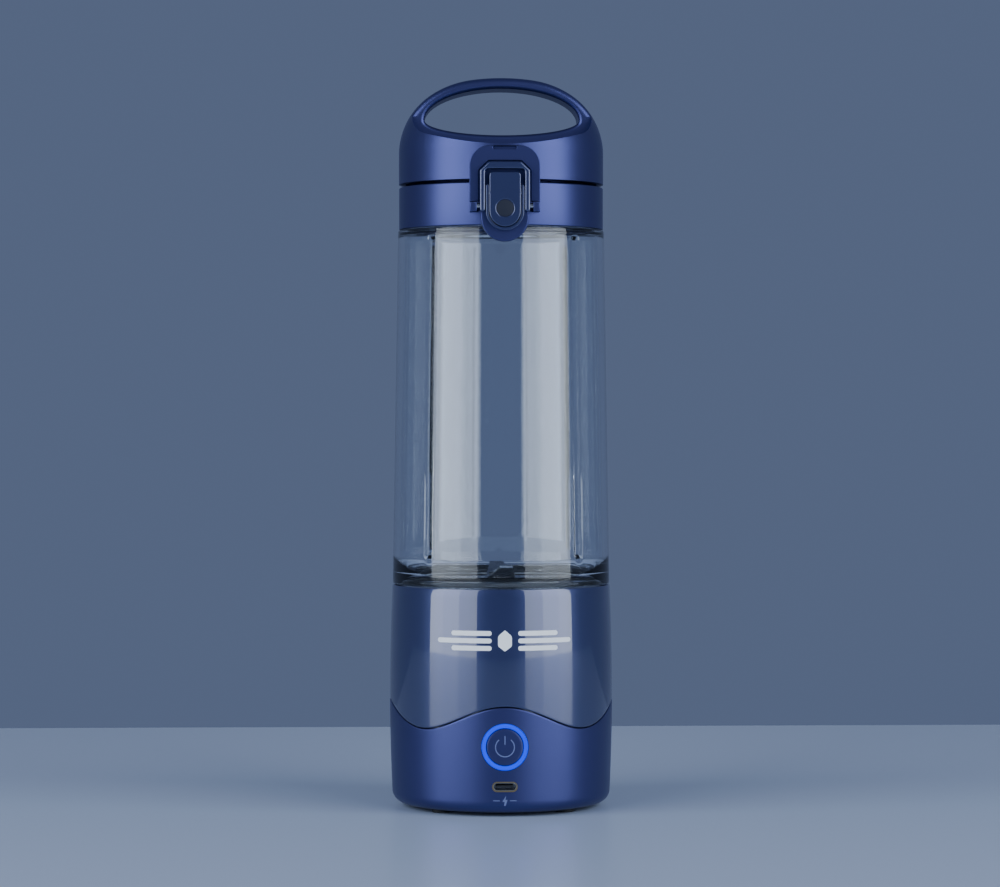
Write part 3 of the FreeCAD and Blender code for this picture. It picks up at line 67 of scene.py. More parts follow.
# Cutters end in front of every face, and below every part of the lid.
FAR_FRONT = 50.0
FAR_BELOW = 200.0

# Directions, with the front towards minus y.
ACROSS: Spot = (1.0, 0.0, 0.0)
BACKWARD: Spot = (0.0, 1.0, 0.0)
UP: Spot = (0.0, 0.0, 1.0)

# Axes that the lid and the latch share.
BUTTON_PIVOT: Spot = (0.0, -43.4, 234.5)
LOCK_PIVOT: Spot = (0.0, -42.4, 229.6)


class Ride(Enum):
    """Moving bodies that pieces can travel with."""

    BASE = "base"
    BUTTON = "start_button"
    CUP = "cup"
    COLLAR = "collar"
    CAP = "cap"
    LATCH = "latch"
    LOCK = "lock"


class Slot(Enum):
    """Material slots of the record."""

    SATIN = "satin_navy"
    GLOSS = "gloss_navy"
    CLEAR = "clear_cup"
    LIGHT = "light_ring"
    DARK = "dark_plastic"
    RUBBER = "dark_rubber"
    SILICONE = "silicone"
    STEEL = "steel"
    WRAP = "cell_wrap"
    BOARD = "board"


def linear(red: int, green: int, blue: int) -> tuple[float, float, float, float]:
    """Turns a screen colour into the linear colour that shaders use.

    Args:
        red: Red, 0 to 255.
        green: Green, 0 to 255.
        blue: Blue, 0 to 255.

    Returns:
        The linear colour, with an alpha of 1.
    """
    scaled = [channel / 255 for channel in (red, green, blue)]
    parts = [c / 12.92 if c <= 0.04045 else ((c + 0.055) / 1.055) ** 2.4 for c in scaled]
    return (*parts, 1.0)


# ---- finishes -----------------------------------------------------------------------------------


class NodeSheet:
    """Small helper that adds and links shader nodes in one tree."""

    def __init__(self, tree: bpy.types.NodeTree) -> None:
        """Remembers the tree."""
        self.tree = tree
        self.column = 0

    def add(self, kind: str, **settings: object) -> bpy.types.Node:
        """Adds a node.

        Args:
            kind: Node type. ShaderNode is put before it, unless it starts with Node.
            settings: Properties of the node to set.

        Returns:
            The new node.
        """
        node = self.tree.nodes.new(kind if kind.startswith("Node") else f"ShaderNode{kind}")
        node.location = (self.column, 0)
        self.column += 200
        for key, value in settings.items():
            setattr(node, key, value)
        return node

    def link(self, source: bpy.types.NodeSocket, target: bpy.types.NodeSocket) -> None:
        """Joins an output to an input."""
        self.tree.links.new(source, target)

    def maths(self, operation: str, first: object, second: object) -> bpy.types.NodeSocket:
        """Adds a maths node.

        Args:
            operation: What it works out.
            first: First input, a socket or a number.
            second: Second input, a socket or a number.

        Returns:
            Its output.
        """
        node = self.add("Math", operation=operation)
        for socket, value in zip(node.inputs, (first, second)):
            if isinstance(value, bpy.types.NodeSocket):
                self.link(value, socket)
            else:
                socket.default_value = value
        return node.outputs[0]

    def noise(self, vector: bpy.types.NodeSocket, scale: float, detail: float) -> bpy.types.NodeSocket:
        """Adds a noise texture.

        Args:
            vector: Where on the surface it is read.
            scale: How fine it is.
            detail: Number of finer layers in it.

        Returns:
            Its value.
        """
        node = self.add("TexNoise")
        node.inputs["Scale"].default_value = scale
        node.inputs["Detail"].default_value = detail
        self.link(vector, node.inputs["Vector"])
        return node.outputs[0]


def effect_group(name: str) -> tuple[bpy.types.NodeTree, NodeSheet, bpy.types.Node, bpy.types.Node]:
    """Starts a node group whose outputs are a colour, a roughness and a height.

    Args:
        name: Name of the group.

    Returns:
        The group, its sheet, and its input and output nodes.
    """
    group = bpy.data.node_groups.new(name, "ShaderNodeTree")
    group.interface.new_socket("Vector", in_out="INPUT", socket_type="NodeSocketVector")
    group.interface.new_socket("Tint", in_out="INPUT", socket_type="NodeSocketColor")
    for label in ("Mottle", "Roughness", "Spread"):
        group.interface.new_socket(label, in_out="INPUT", socket_type="NodeSocketFloat")
    group.interface.new_socket("Color", in_out="OUTPUT", socket_type="NodeSocketColor")
    group.interface.new_socket("Roughness", in_out="OUTPUT", socket_type="NodeSocketFloat")
    group.interface.new_socket("Height", in_out="OUTPUT", socket_type="NodeSocketFloat")
    sheet = NodeSheet(group)
    return group, sheet, sheet.add("NodeGroupInput"), sheet.add("NodeGroupOutput")


def close_group(
    sheet: NodeSheet,
    inlet: bpy.types.Node,
    outlet: bpy.types.Node,
    cloud: bpy.types.NodeSocket,
    height: bpy.types.NodeSocket,
) -> None:
    """Feeds a group's outputs from a cloudy value and a height.

    Args:
        sheet: Sheet of the group.
        inlet: Its input node.
        outlet: Its output node.
        cloud: Value around 0.5 that shades the colour and spreads the roughness.
        height: Height of the surface.
    """
    centred = sheet.maths("SUBTRACT", cloud, 0.5)
    shade = sheet.maths("ADD", sheet.maths("MULTIPLY", centred, inlet.outputs["Mottle"]), 1.0)
    tinted = sheet.add("VectorMath", operation="SCALE")
    sheet.link(inlet.outputs["Tint"], tinted.inputs[0])
    sheet.link(shade, tinted.inputs["Scale"])
    sheet.link(tinted.outputs[0], outlet.inputs["Color"])
    swing = sheet.maths("MULTIPLY", centred, inlet.outputs["Spread"])
    sheet.link(sheet.maths("ADD", swing, inlet.outputs["Roughness"]), outlet.inputs["Roughness"])
    sheet.link(height, outlet.inputs["Height"])


def moulded_grain() -> bpy.types.NodeTree:
    """Makes the fine even grain of moulded plastic, over slow cloudy changes.

    Returns:
        The node group.
    """
    group, sheet, inlet, outlet = effect_group("Moulded Grain")
    vector = inlet.outputs["Vector"]
    cloud = sheet.noise(vector, scale=45.0, detail=3.0)
    grain = sheet.noise(vector, scale=5200.0, detail=2.0)
    close_group(sheet, inlet, outlet, cloud, grain)
    return group


def brushed_metal() -> bpy.types.NodeTree:
    """Makes brushed metal: a fine grain, drawn out into level lines.

    Returns:
        The node group.
    """
    group, sheet, inlet, outlet = effect_group("Brushed Metal")
    vector = inlet.outputs["Vector"]
    stretch = sheet.add("VectorMath", operation="MULTIPLY")
    stretch.inputs[1].default_value = (0.12, 0.12, 1.0)
    sheet.link(vector, stretch.inputs[0])
    lines = sheet.noise(stretch.outputs[0], scale=3000.0, detail=3.0)
    cloud = sheet.noise(vector, scale=60.0, detail=2.0)
    close_group(sheet, inlet, outlet, cloud, lines)
    return group


def speckled_board() -> bpy.types.NodeTree:
    """Makes small raised pads, scattered over a lacquered board.

    Returns:
        The node group.
    """
    group, sheet, inlet, outlet = effect_group("Speckled Board")
    vector = inlet.outputs["Vector"]
    cells = sheet.add("TexVoronoi")
    cells.inputs["Scale"].default_value = 500.0
    sheet.link(vector, cells.inputs["Vector"])
    pads = sheet.maths("LESS_THAN", cells.outputs["Distance"], 0.25)
    cloud = sheet.noise(vector, scale=90.0, detail=2.0)
    close_group(sheet, inlet, outlet, cloud, pads)
    return group


@dataclass(frozen=True)
class Finish:
    """Look of one material.

    Attributes:
        name: Name of the material.
        tint: Linear colour.
        roughness: Mean roughness.
        effect: Builder of the shared effect.
        mottle: How strongly the colour varies.
        spread: How strongly the roughness varies.
        relief: Height of the grain in metres.
        metallic: Metal share.
        coat: Weight of the clear coat.
        transmission: Share of light let through.
        ior: Index of refraction.
        glow: Strength of its own light.
        shine: Specular level.
        coat_roughness: Roughness of the clear coat.
        coat_ior: Index of refraction of the clear coat.
    """

    name: str
    tint: tuple[float, float, float, float]
    roughness: float
    effect: Callable[[], bpy.types.NodeTree] = moulded_grain
    mottle: float = 0.10
    spread: float = 0.06
    relief: float = 0.000004
    metallic: float = 0.0
    coat: float = 0.0
    transmission: float = 0.0
    ior: float = 1.5
    glow: float = 0.0
    shine: float = 0.5
    coat_roughness: float = 0.03
    coat_ior: float = 1.7

    def material(self) -> bpy.types.Material:
        """Returns the material, and makes it on its first use."""
        return bpy.data.materials.get(self.name) or self.build()

    def build(self) -> bpy.types.Material:
        """Builds the material from its shared effect and one shader.

        Returns:
            The material.
        """
        made = bpy.data.materials.new(self.name)
        made.use_nodes = True
        made.node_tree.nodes.clear()
        sheet = NodeSheet(made.node_tree)
        place = sheet.add("TexCoord")
        effect = sheet.add("Group")
        label = self.effect.__name__.replace("_", " ").title()
        effect.node_tree = bpy.data.node_groups.get(label) or self.effect()
        effect.inputs["Tint"].default_value = self.tint
        effect.inputs["Mottle"].default_value = self.mottle
        effect.inputs["Roughness"].default_value = self.roughness
        effect.inputs["Spread"].default_value = self.spread
        sheet.link(place.outputs["Object"], effect.inputs["Vector"])
        shader = sheet.add("BsdfPrincipled")
        shader.inputs["Metallic"].default_value = self.metallic
        shader.inputs["IOR"].default_value = self.ior
        shader.inputs["Specular IOR Level"].default_value = self.shine
        shader.inputs["Coat Weight"].default_value = self.coat
        shader.inputs["Coat Roughness"].default_value = self.coat_roughness
        shader.inputs["Coat IOR"].default_value = self.coat_ior
        shader.inputs["Transmission Weight"].default_value = self.transmission
        sheet.link(effect.outputs["Color"], shader.inputs["Base Color"])
        sheet.link(effect.outputs["Roughness"], shader.inputs["Roughness"])
        if self.glow:
            sheet.link(effect.outputs["Color"], shader.inputs["Emission Color"])
            shader.inputs["Emission Strength"].default_value = self.glow
        if self.relief:
            bump = sheet.add("Bump")
            bump.inputs["Strength"].default_value = 1.0
            bump.inputs["Distance"].default_value = self.relief
            sheet.link(effect.outputs["Height"], bump.inputs["Height"])
            sheet.link(bump.outputs["Normal"], shader.inputs["Normal"])
        out = sheet.add("OutputMaterial")
        sheet.link(shader.outputs[0], out.inputs["Surface"])
        return made


SATIN = Finish("Satin Navy", linear(64, 68, 116), 0.36, mottle=0.06, relief=0.000002, metallic=0.85)
GLOSS = Finish(
    "Gloss Navy",
    linear(46, 54, 96),
    0.30,
    mottle=0.04,
    spread=0.01,
    relief=0.0,
    metallic=0.6,
    coat=1.0,
)
CLEAR = Finish(
    "Clear Cup",
    linear(244, 248, 253),
    0.01,
    mottle=0.01,
    spread=0.004,
    relief=0.0,
    transmission=1.0,
    ior=1.49,
)
LIGHT = Finish("Light Ring", linear(0, 50, 255), 0.60, mottle=0.05, relief=0.0, glow=0.40, shine=0.05)
DARK = Finish("Dark Plastic", linear(34, 36, 42), 0.45)
RUBBER = Finish("Dark Rubber", linear(24, 25, 28), 0.75, relief=0.000010)
SILICONE = Finish("Pale Silicone", linear(196, 202, 210), 0.50, relief=0.000003)
STEEL = Finish("Brushed Steel", linear(190, 190, 192), 0.26, brushed_metal, spread=0.10, metallic=1.0)
WRAP = Finish("Cell Wrap", linear(42, 128, 118), 0.32, mottle=0.15, coat=0.4)
BOARD = Finish("Circuit Board", linear(20, 84, 52), 0.38, speckled_board, mottle=0.25, relief=0.000030)
# Dark navy for the disc in the thumb dimple: painted shade for the dimple's hollow.
DIMPLE_SHADE = Finish("Dimple Shade Navy", linear(18, 23, 42), 0.55, mottle=0.05, relief=0.000003, metallic=0.2)
PRINT = Finish("White Print", linear(246, 247, 250), 0.35, mottle=0.02, relief=0.000001)
ICON = Finish("Pale Blue Print", linear(98, 108, 154), 0.40, mottle=0.04, relief=0.000001)
CONTACT = Finish("Gilt Contacts", linear(158, 140, 104), 0.35, brushed_metal, metallic=1.0)
PALE_FLOOR = Finish("Pale Floor", linear(180, 192, 214), 0.30, mottle=0.0, spread=0.0, relief=0.0)

SLOT_FINISH = {
    Slot.SATIN: SATIN,
    Slot.GLOSS: GLOSS,
    Slot.CLEAR: CLEAR,
    Slot.LIGHT: LIGHT,
    Slot.DARK: DARK,
    Slot.RUBBER: RUBBER,
    Slot.SILICONE: SILICONE,
    Slot.STEEL: STEEL,
    Slot.WRAP: WRAP,
    Slot.BOARD: BOARD,
}


# ---- shaping ------------------------------------------------------------------------------------


def ease(share: float) -> float:
    """Turns a share, held between 0 and 1, into a smooth step from 0 to 1."""
    held = min(max(share, 0.0), 1.0)
    return held * held * (3 - 2 * held)


def rounded_path(corners: Iterable[tuple[float, ...]], steps: int = 5) -> list[Point]:
    """Closed outline whose corners are rounded.

    Args:
        corners: Points (x, y) or (x, y, radius) in order round the outline.
        steps: Segments in each rounded corner.

    Returns:
        Points of the outline.
    """
    given = [tuple(corner) for corner in corners]
    path: list[Point] = []
    for k, corner in enumerate(given):
        here = Vector(corner[:2])
        if len(corner) == 2:
            path.append((here.x, here.y))
            continue
        back = (Vector(given[k - 1][:2]) - here).normalized()
        ahead = (Vector(given[(k + 1) % len(given)][:2]) - here).normalized()
        half = back.angle(ahead) / 2
        centre = here + (back + ahead).normalized() * (corner[2] / math.sin(half))
        start = here + back * (corner[2] / math.tan(half)) - centre
        end = here + ahead * (corner[2] / math.tan(half)) - centre
        for step in range(steps + 1):
            spoke = start.lerp(end, ease_angle(step / steps, start.angle(end)))
            path.append(tuple(centre + spoke.normalized() * corner[2]))
    return path


def ease_angle(share: float, angle: float) -> float:
    """Finds where on a chord the same share of the arc over it lies.

    Args:
        share: Share of the arc.
        angle: Angle of the arc.

    Returns:
        Share of the chord.
    """
    if angle < 1e-6:
        return share
    return 0.5 + math.tan((share - 0.5) * angle) / (2 * math.tan(angle / 2))


def filled_in(path: list[Point], longest: float) -> list[Point]:
    """Divides an outline's long sides.

    Args:
        path: Points of the outline.
        longest: Length that no side may pass.

    Returns:
        Points of the divided outline.
    """
    dense: list[Point] = []
    for first, last in zip(path, path[1:] + path[:1]):
        count = max(1, math.ceil(math.dist(first, last) / longest))
        dense += [tuple(Vector(first).lerp(Vector(last), k / count)) for k in range(count)]
    return dense


def loop_edges(bm: Mesh, spots: list[Spot]) -> list[Edge]:
    """Adds a closed loop of edges through spots and returns them in order."""
    corners = [bm.verts.new(spot) for spot in spots]
    return [bm.edges.new(pair) for pair in zip(corners, corners[1:] + corners[:1])]


def spun(
    bm: Mesh,
    outline: list[Point],
    centre: Spot = (0, 0, 0),
    axis: Spot = UP,
    steps: int = ROUND,
) -> None:
    """Spins a closed outline (radius, distance along the axis) into a ring.

    Args:
        bm: Mesh to add to.
        outline: Closed outline.
        centre: Point on the axis.
        axis: Direction of the axis: up, backward or across.
        steps: Columns round the ring.
    """
    middle, along = Vector(centre), Vector(axis)
    out = Vector(BACKWARD) if axis[0] else Vector(ACROSS)
    edges = loop_edges(bm, [middle + out * radius + along * rise for radius, rise in outline])
    bmesh.ops.spin(
        bm,
        geom=edges + [edge.verts[0] for edge in edges],
        cent=middle,
        axis=along,
        angle=2 * math.pi,
        steps=steps,
        use_merge=True,
        use_duplicate=False,
    )
    bmesh.ops.remove_doubles(bm, verts=bm.verts, dist=SPUN_WELD)


def prism(bm: Mesh, spots: list[Spot], push: Spot) -> None:
    """Adds the closed solid between a flat outline and the same outline pushed along.

    Args:
        bm: Mesh to add to.
        spots: Corners of the outline.
        push: Way from the outline to its copy.
    """
    edges = loop_edges(bm, spots)
    face = bmesh.ops.contextual_create(bm, geom=edges)["faces"]
    pushed = bmesh.ops.extrude_face_region(bm, geom=face, use_keep_orig=True)["geom"]
    verts = [item for item in pushed if isinstance(item, bmesh.types.BMVert)]
    bmesh.ops.translate(bm, verts=verts, vec=push)


def slab(bm: Mesh, outline: list[Point], back: float, front: float) -> None:
    """Adds an upright plate, thick between two distances forward of the origin.

    Args:
        bm: Mesh to add to.
        outline: Closed outline in x and z.
        back: Distance of its back.
        front: Distance of its front.
    """
    prism(bm, [(x, -back, z) for x, z in outline], (0, back - front, 0))


def plate(outline: list[Point], back: float, front: float) -> Mesh:
    """Makes an upright plate of its own.

    Args:
        outline: Closed outline in x and z.
        back: Distance of its back.
        front: Distance of its front.

    Returns:
        Its mesh.
    """
    bm = bmesh.new()
    slab(bm, outline, back, front)
    return bm


def drum(radius: float, low: float, high: float, centre: Spot = (0, 0, 0), axis: Spot = UP) -> Mesh:
    """Makes a closed cylinder.

    Args:
        radius: Its radius.
        low: Distance along the axis where it starts.
        high: Distance along the axis where it ends.
        centre: Point on the axis that the distances start from.
        axis: Direction of the axis.

    Returns:
        Its mesh.
    """
    bm = bmesh.new()
    spun(bm, [(0, low), (radius, low), (radius, high), (0, high)], centre, axis, 96)
    return bm


def oblong(
    left: float, right: float, low: float, high: float, radius: float | None = None
) -> list[tuple[float, ...]]:
    """Lists the corners of a rectangle.

    Args:
        left: Its left side.
        right: Its right side.
        low: Its lower side.
        high: Its upper side.
        radius: Rounding of its corners, if they are to have one.

    Returns:
        The corners, each with its rounding behind it.
    """
    corners = [(left, low), (right, low), (right, high), (left, high)]
    return [(*corner, radius) for corner in corners] if radius else corners


def box_corners(half: float, low: float, high: float, radius: float | None = None) -> list[tuple[float, ...]]:
    """Lists the corners of a rectangle centred on x = 0, as oblong does."""
    return oblong(-half, half, low, high, radius)


def divided(bm: Mesh) -> None:
    """Cuts a flat mark into narrow upright strips, so that it can bend.

    Args:
        bm: Mesh to change.
    """
    for x in range(-26, 27):
        geometry = bm.verts[:] + bm.edges[:] + bm.faces[:]
        bmesh.ops.bisect_plane(bm, geom=geometry, plane_co=(x, 0, 0), plane_no=ACROSS, dist=1e-5)


def round_ended(half: float, centre: float, high: float, top_radius: float | None = None) -> list[Point]:
    """Draws an outline with a half-round lower end and a straight top.

    Args:
        half: Half of its width, and the radius of its lower end.
        centre: Height of the lower end's centre.
        high: Height of the top.
        top_radius: Rounding of the top corners, if they are to have one.

    Returns:
        Points of the outline.
    """
    turns = [math.pi + math.pi * k / 32 for k in range(33)]
    end = [(half * math.cos(a), centre + half * math.sin(a)) for a in turns]
    rounding = (top_radius,) if top_radius else ()
    return rounded_path([*end, (half, high, *rounding), (-half, high, *rounding)], 6)


def in_front(distance: float) -> Callable[[Edge], bool]:
    """Makes the test for edges that lie wholly further forward than a distance."""
    return lambda edge: all(vert.co.y < -distance for vert in edge.verts)


def soften(bm: Mesh, chosen: Callable[[Edge], bool], width: float) -> None:
    """Rounds the chosen sharp edges.

    Args:
        bm: Mesh to change.
        chosen: Says whether an edge is wanted.
        width: Width of the rounding.
    """
    bmesh.ops.recalc_face_normals(bm, faces=bm.faces)
    sharp = [e for e in bm.edges if e.is_manifold and e.calc_face_angle(0) > SHARP_FOLD]
    bmesh.ops.bevel(
        bm,
        geom=[edge for edge in sharp if chosen(edge)],
        offset=width,
        segments=3,
        profile=0.5,
        affect="EDGES",
        material=-1,
        clamp_overlap=True,
    )


def temporary(bm: Mesh) -> bpy.types.Object:
    """Moves a mesh into a scratch object of the scene.

    Args:
        bm: The mesh, which is used up.

    Returns:
        The object.
    """
    mesh = bpy.data.meshes.new("scratch")
    bmesh.ops.recalc_face_normals(bm, faces=bm.faces)
    bm.to_mesh(mesh)
    bm.free()
    made = bpy.data.objects.new("scratch", mesh)
    bpy.context.scene.collection.objects.link(made)
    return made


def carved(body: Mesh, tools: Iterable[Mesh]) -> Mesh:
    """Takes tools away from a body.

    Args:
        body: Closed mesh that is worked on, which is used up.
        tools: Closed meshes, which are used up.

    Returns:
        The new mesh.
    """
    base = temporary(body)
    scratch = [base]
    for tool in tools:
        cutter = temporary(tool)
        scratch.append(cutter)
        change = base.modifiers.new("cut", "BOOLEAN")
        change.operation = "DIFFERENCE"
        change.solver = "EXACT"
        change.object = cutter
    bpy.context.view_layer.update()
    shaped = base.evaluated_get(bpy.context.evaluated_depsgraph_get()).to_mesh()
    result = bmesh.new()
    result.from_mesh(shaped)
    for used in scratch:
        mesh = used.data
        bpy.data.objects.remove(used)
        bpy.data.meshes.remove(mesh)
    bmesh.ops.remove_doubles(result, verts=result.verts, dist=CUT_WELD)
    return result


def settle(
    name: str,
    bm: Mesh,
    ride: Ride,
    finish: Finish,
    stands_for: tuple[str, ...] = (),
    crease: float = 34.0,
) -> bpy.types.Object:
    """Turns a mesh in millimetres into a placed, smooth-shaded piece.

    Args:
        name: Name of the piece.
        bm: Its mesh, which is used up.
        ride: Body that it travels with.
        finish: Its finish.
        stands_for: Frame nodes that it takes the place of.
        crease: Angle in degrees from which an edge stays sharp.

    Returns:
        The object.
    """
    bmesh.ops.remove_doubles(bm, verts=bm.verts, dist=PIECE_WELD)
    bmesh.ops.recalc_face_normals(bm, faces=bm.faces)
    bmesh.ops.scale(bm, vec=(METRES,) * 3, verts=bm.verts)
    limit = math.radians(crease)
    for face in bm.faces:
        face.smooth = True
    for edge in bm.edges:
        edge.smooth = not edge.is_manifold or edge.calc_face_angle(0) < limit
    mesh = bpy.data.meshes.new(name)
    bm.to_mesh(mesh)
    bm.free()
    piece = bpy.data.objects.new(name, mesh)
    bpy.context.scene.collection.objects.link(piece)
    piece.data.materials.append(finish.material())
    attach(piece, ride.value)
    if stands_for:
        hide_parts(*stands_for)
    LOG.info("%s: %d faces", name, len(mesh.polygons))
    return piece


def refined(node: str, drop: Callable[[Vector], bool]) -> Mesh:
    """Makes a joined-up copy of a frame node, in millimetres.

    Args:
        node: Name of the node.
        drop: Says whether a corner belongs to the faces that are left out.

    Returns:
        The copy's mesh.
    """
    bm = bmesh.new()
    bm.from_mesh(frame["nodes"][node].data)
    bmesh.ops.scale(bm, vec=(1 / METRES,) * 3, verts=bm.verts)
    bmesh.ops.remove_doubles(bm, verts=bm.verts, dist=CUT_WELD)
    dropped = [face for face in bm.faces if any(drop(vert.co) for vert in face.verts)]
    bmesh.ops.delete(bm, geom=dropped, context="FACES")
    return bm


def evened(piece: bpy.types.Object) -> bpy.types.Object:
    """Lets broad faces lead the shading, so that flat ones look flat.

    Args:
        piece: The piece to change.

    Returns:
        The same piece.
    """
    normals = piece.modifiers.new("even normals", "WEIGHTED_NORMAL")
    normals.keep_sharp = True
    return piece


# ---- base ---------------------------------------------------------------------------------------


@dataclass
class MotorBase:
    """Glossy upper housing over a satin lower one, with the button, light ring and marks.

    Attributes:
        foot: Height of the underside.
        seam: Height where the cup meets the base.
        foot_radius: Radius at the underside.
        rim_radius: Radius at the seam.
        bulge: How far the side stands out between them.
        wall: Thickness of the housings.
        wave_z: Mean height of the parting line.
        wave_rise: Height of its waves.
        waves: Number of its waves.
        wave_band: Height on both sides of it that takes the whole wave.
        wave_fade: Height over which the wave dies out beyond that.
        groove: Width of the parting groove.
        button_z: Height of the button.
        button_radius: Radius of the button.
        dish_radius: Radius of its dished face.
        dish_depth: Depth of the dish.
        ring_inner: Inner radius of the light ring.
        ring_outer: Outer radius of the light ring.
        port_z: Height of the charging port.
        ornament_z: Height of the ornament's middle.
        icon_z: Height of the charging icon's middle.
        feet_ring: Radius of the circle that the feet stand on.
        print_depth: Thickness of a printed mark.
        print_lift: How far a printed mark stands off the side.
    """

    foot: float = 1.4
    seam: float = 85.6
    foot_radius: float = 41.9
    rim_radius: float = 42.1
    bulge: float = 1.05
    wall: float = 2.2
    wave_z: float = 37.0
    wave_rise: float = 4.5
    waves: int = 4
    wave_band: float = 1.5
    wave_fade: float = 20.0
    groove: float = 0.3
    button_z: float = 26.5
    button_radius: float = 7.0
    dish_radius: float = 6.4
    dish_depth: float = 0.28
    ring_inner: float = 7.15
    ring_outer: float = 8.8
    port_z: float = 11.6
    ornament_z: float = 66.4
    icon_z: float = 6.4
    feet_ring: float = 33.2
    print_depth: float = 0.05
    print_lift: float = 0.02

    def side(self, z: float) -> float:
        """Works out the radius of the outer side.

        Args:
            z: Height.

        Returns:
            The radius there.
        """
        share = (z - self.foot) / (self.seam - self.foot)
        straight = self.foot_radius + (self.rim_radius - self.foot_radius) * share
        return straight + 4 * self.bulge * share * (1 - share)

    def side_path(self, low: float, high: float, inset: float = 0.0) -> list[Point]:
        """Lists points up the side.

        Args:
            low: Height of the first point.
            high: Height of the last point.
            inset: How far inside the outer side they lie.

        Returns:
            The points.
        """
        count = max(2, round(abs(high - low) / 2.5))
        heights = [low + (high - low) * k / count for k in range(count + 1)]
        return [(self.side(z) - inset, z) for z in heights]

    def follow_wave(self, bm: Mesh) -> None:
        """Bends a flat parting edge into the wave, which dies out away from it.

        Args:
            bm: Mesh to change.
        """
        for vert in bm.verts:
            around = math.atan2(vert.co.y, vert.co.x)
            fade = 1 - ease((abs(vert.co.z - self.wave_z) - self.wave_band) / self.wave_fade)
            radius = math.hypot(vert.co.x, vert.co.y)
            inset = self.side(vert.co.z) - radius
            height = vert.co.z + self.wave_rise * math.cos(self.waves * around) * fade
            scale = (self.side(height) - inset) / radius if radius > 1 else 1
            vert.co = Vector((vert.co.x * scale, vert.co.y * scale, height))

    def onto_side(self, bm: Mesh, lift: float = 0.0) -> None:
        """Lays a shape drawn upright at y = 0 onto the front of the base. Its own depth stays.

        Args:
            bm: Mesh to change.
            lift: How far it stands off the side.
        """
        for vert in bm.verts:
            radius = self.side(vert.co.z) + lift
            vert.co.y -= math.sqrt(radius**2 - vert.co.x**2)

    def upper_housing(self) -> None:
        """Builds the glossy shell above the parting line."""
        low = self.wave_z + self.groove / 2
        low_edge, rim_edge = 0.45, 0.6
        outline = [
            (self.side(low) - self.wall, low),
            (self.side(low) - low_edge, low),
            (self.side(low) - CORNER_CUT * low_edge, low + CORNER_CUT * low_edge),
            *self.side_path(low + low_edge, low + 2 * low_edge),
            *self.side_path(low + 2, self.seam - rim_edge),
            (self.rim_radius - CORNER_CUT * rim_edge, self.seam - CORNER_CUT * rim_edge),
            (self.rim_radius - rim_edge, self.seam),
            (self.rim_radius - self.wall, self.seam),
            *self.side_path(self.seam - 1, low + 1, self.wall),
        ]
        shell = bmesh.new()
        spun(shell, outline)
        self.follow_wave(shell)
        settle("glossy_housing", shell, Ride.BASE, GLOSS, ("upper_housing",))

    def housing_sleeve(self) -> None:
        """Builds the sleeve behind the parting line, cut away behind the light ring."""
        inner, outer, lip = 38.3, 39.6, 41.0
        low, bend, lip_low, high = 30.5, 43.5, 45.5, 46.6
        outline = [(inner, low), (outer, low), (outer, bend), (lip, lip_low), (lip, high), (inner, high)]
        sleeve = bmesh.new()
        spun(sleeve, outline)
        notch = plate(box_corners(10.8, 29.0, 37.3), 30, 45)
        settle("housing_sleeve", carved(sleeve, [notch]), Ride.BASE, GLOSS)

    def lower_housing(self) -> None:
        """Builds the satin shell with its rounded foot, button hole and port hole."""
        high = self.wave_z - self.groove / 2
        edge = 0.5
        foot_round = 4.8
        bend_z = self.foot + foot_round
        turns = [math.radians(9 * k) for k in range(11)]
        foot_arc = [
            (self.side(bend_z) - foot_round * (1 - math.cos(a)), bend_z - foot_round * math.sin(a))
            for a in turns
        ]
        flat_radius, cover_radius, land_radius, room_radius = 34.0, 29.2, 22.8, 39.4
        land_z, floor_z, wall_z = 3.8, 6.0, 8.0
        outline = [
            *self.side_path(high - edge, high - 0.9),
            *self.side_path(high - 2.0, bend_z + 2.0),
            *foot_arc,
            (flat_radius, self.foot),
            (cover_radius, self.foot),
            (cover_radius, land_z),
            (land_radius, land_z),
            (land_radius, floor_z),
            (room_radius, floor_z),
            *self.side_path(wall_z, high - 1.0, self.wall),
            (self.side(high) - self.wall, high),
            (self.side(high) - edge, high),
            (self.side(high) - CORNER_CUT * edge, high - CORNER_CUT * edge),
        ]
        shell = bmesh.new()
        spun(shell, outline)
        self.follow_wave(shell)
        hole = drum(self.ring_outer + 0.1, -30, -FAR_FRONT, (0, 0, self.button_z), BACKWARD)
        port = plate(self.port_outline(4.87, 2.0), 30, FAR_FRONT)
        settle("satin_housing", carved(shell, [hole, port]), Ride.BASE, SATIN, ("lower_housing",))

    def port_outline(self, half_width: float, half_height: float) -> list[Point]:
        """Draws an outline with nearly half-round ends about the charging port.

        Args:
            half_width: Half of its width.
            half_height: Half of its height.

        Returns:
            Points of the outline.
        """
        low, high = self.port_z - half_height, self.port_z + half_height
        return rounded_path(box_corners(half_width, low, high, half_height - 0.01), 12)

    def port_rim(self) -> None:
        """Builds the thin bright frame round the mouth of the charging port."""
        rim = plate(self.port_outline(4.82, 1.95), 40.9, 42.0)
        mouth = plate(self.port_outline(4.30, 1.45), 40, 43)
        settle("port_rim", carved(rim, [mouth]), Ride.BASE, CONTACT)

    def light_ring(self) -> None:
        """Builds the lit ring round the button, flush with the side."""
        depth, edge = 4.6, 0.3
        corners = [
            (self.ring_inner, depth),
            (self.ring_inner, 0.0, edge),
            (self.ring_outer, 0.0, edge),
            (self.ring_outer, depth),
        ]
        ring = bmesh.new()
        outline = filled_in(rounded_path(corners, 3), 0.9)
        spun(ring, outline, (0, 0, self.button_z), BACKWARD, 128)
        self.onto_side(ring)
        settle("light_ring_lens", ring, Ride.BASE, LIGHT, ("led_ring",))

    def dish(self, radius: float) -> float:
        """Works out how deep the button's face lies at a distance from its centre."""
        return self.dish_depth * (1 - (radius / self.dish_radius) ** 2)

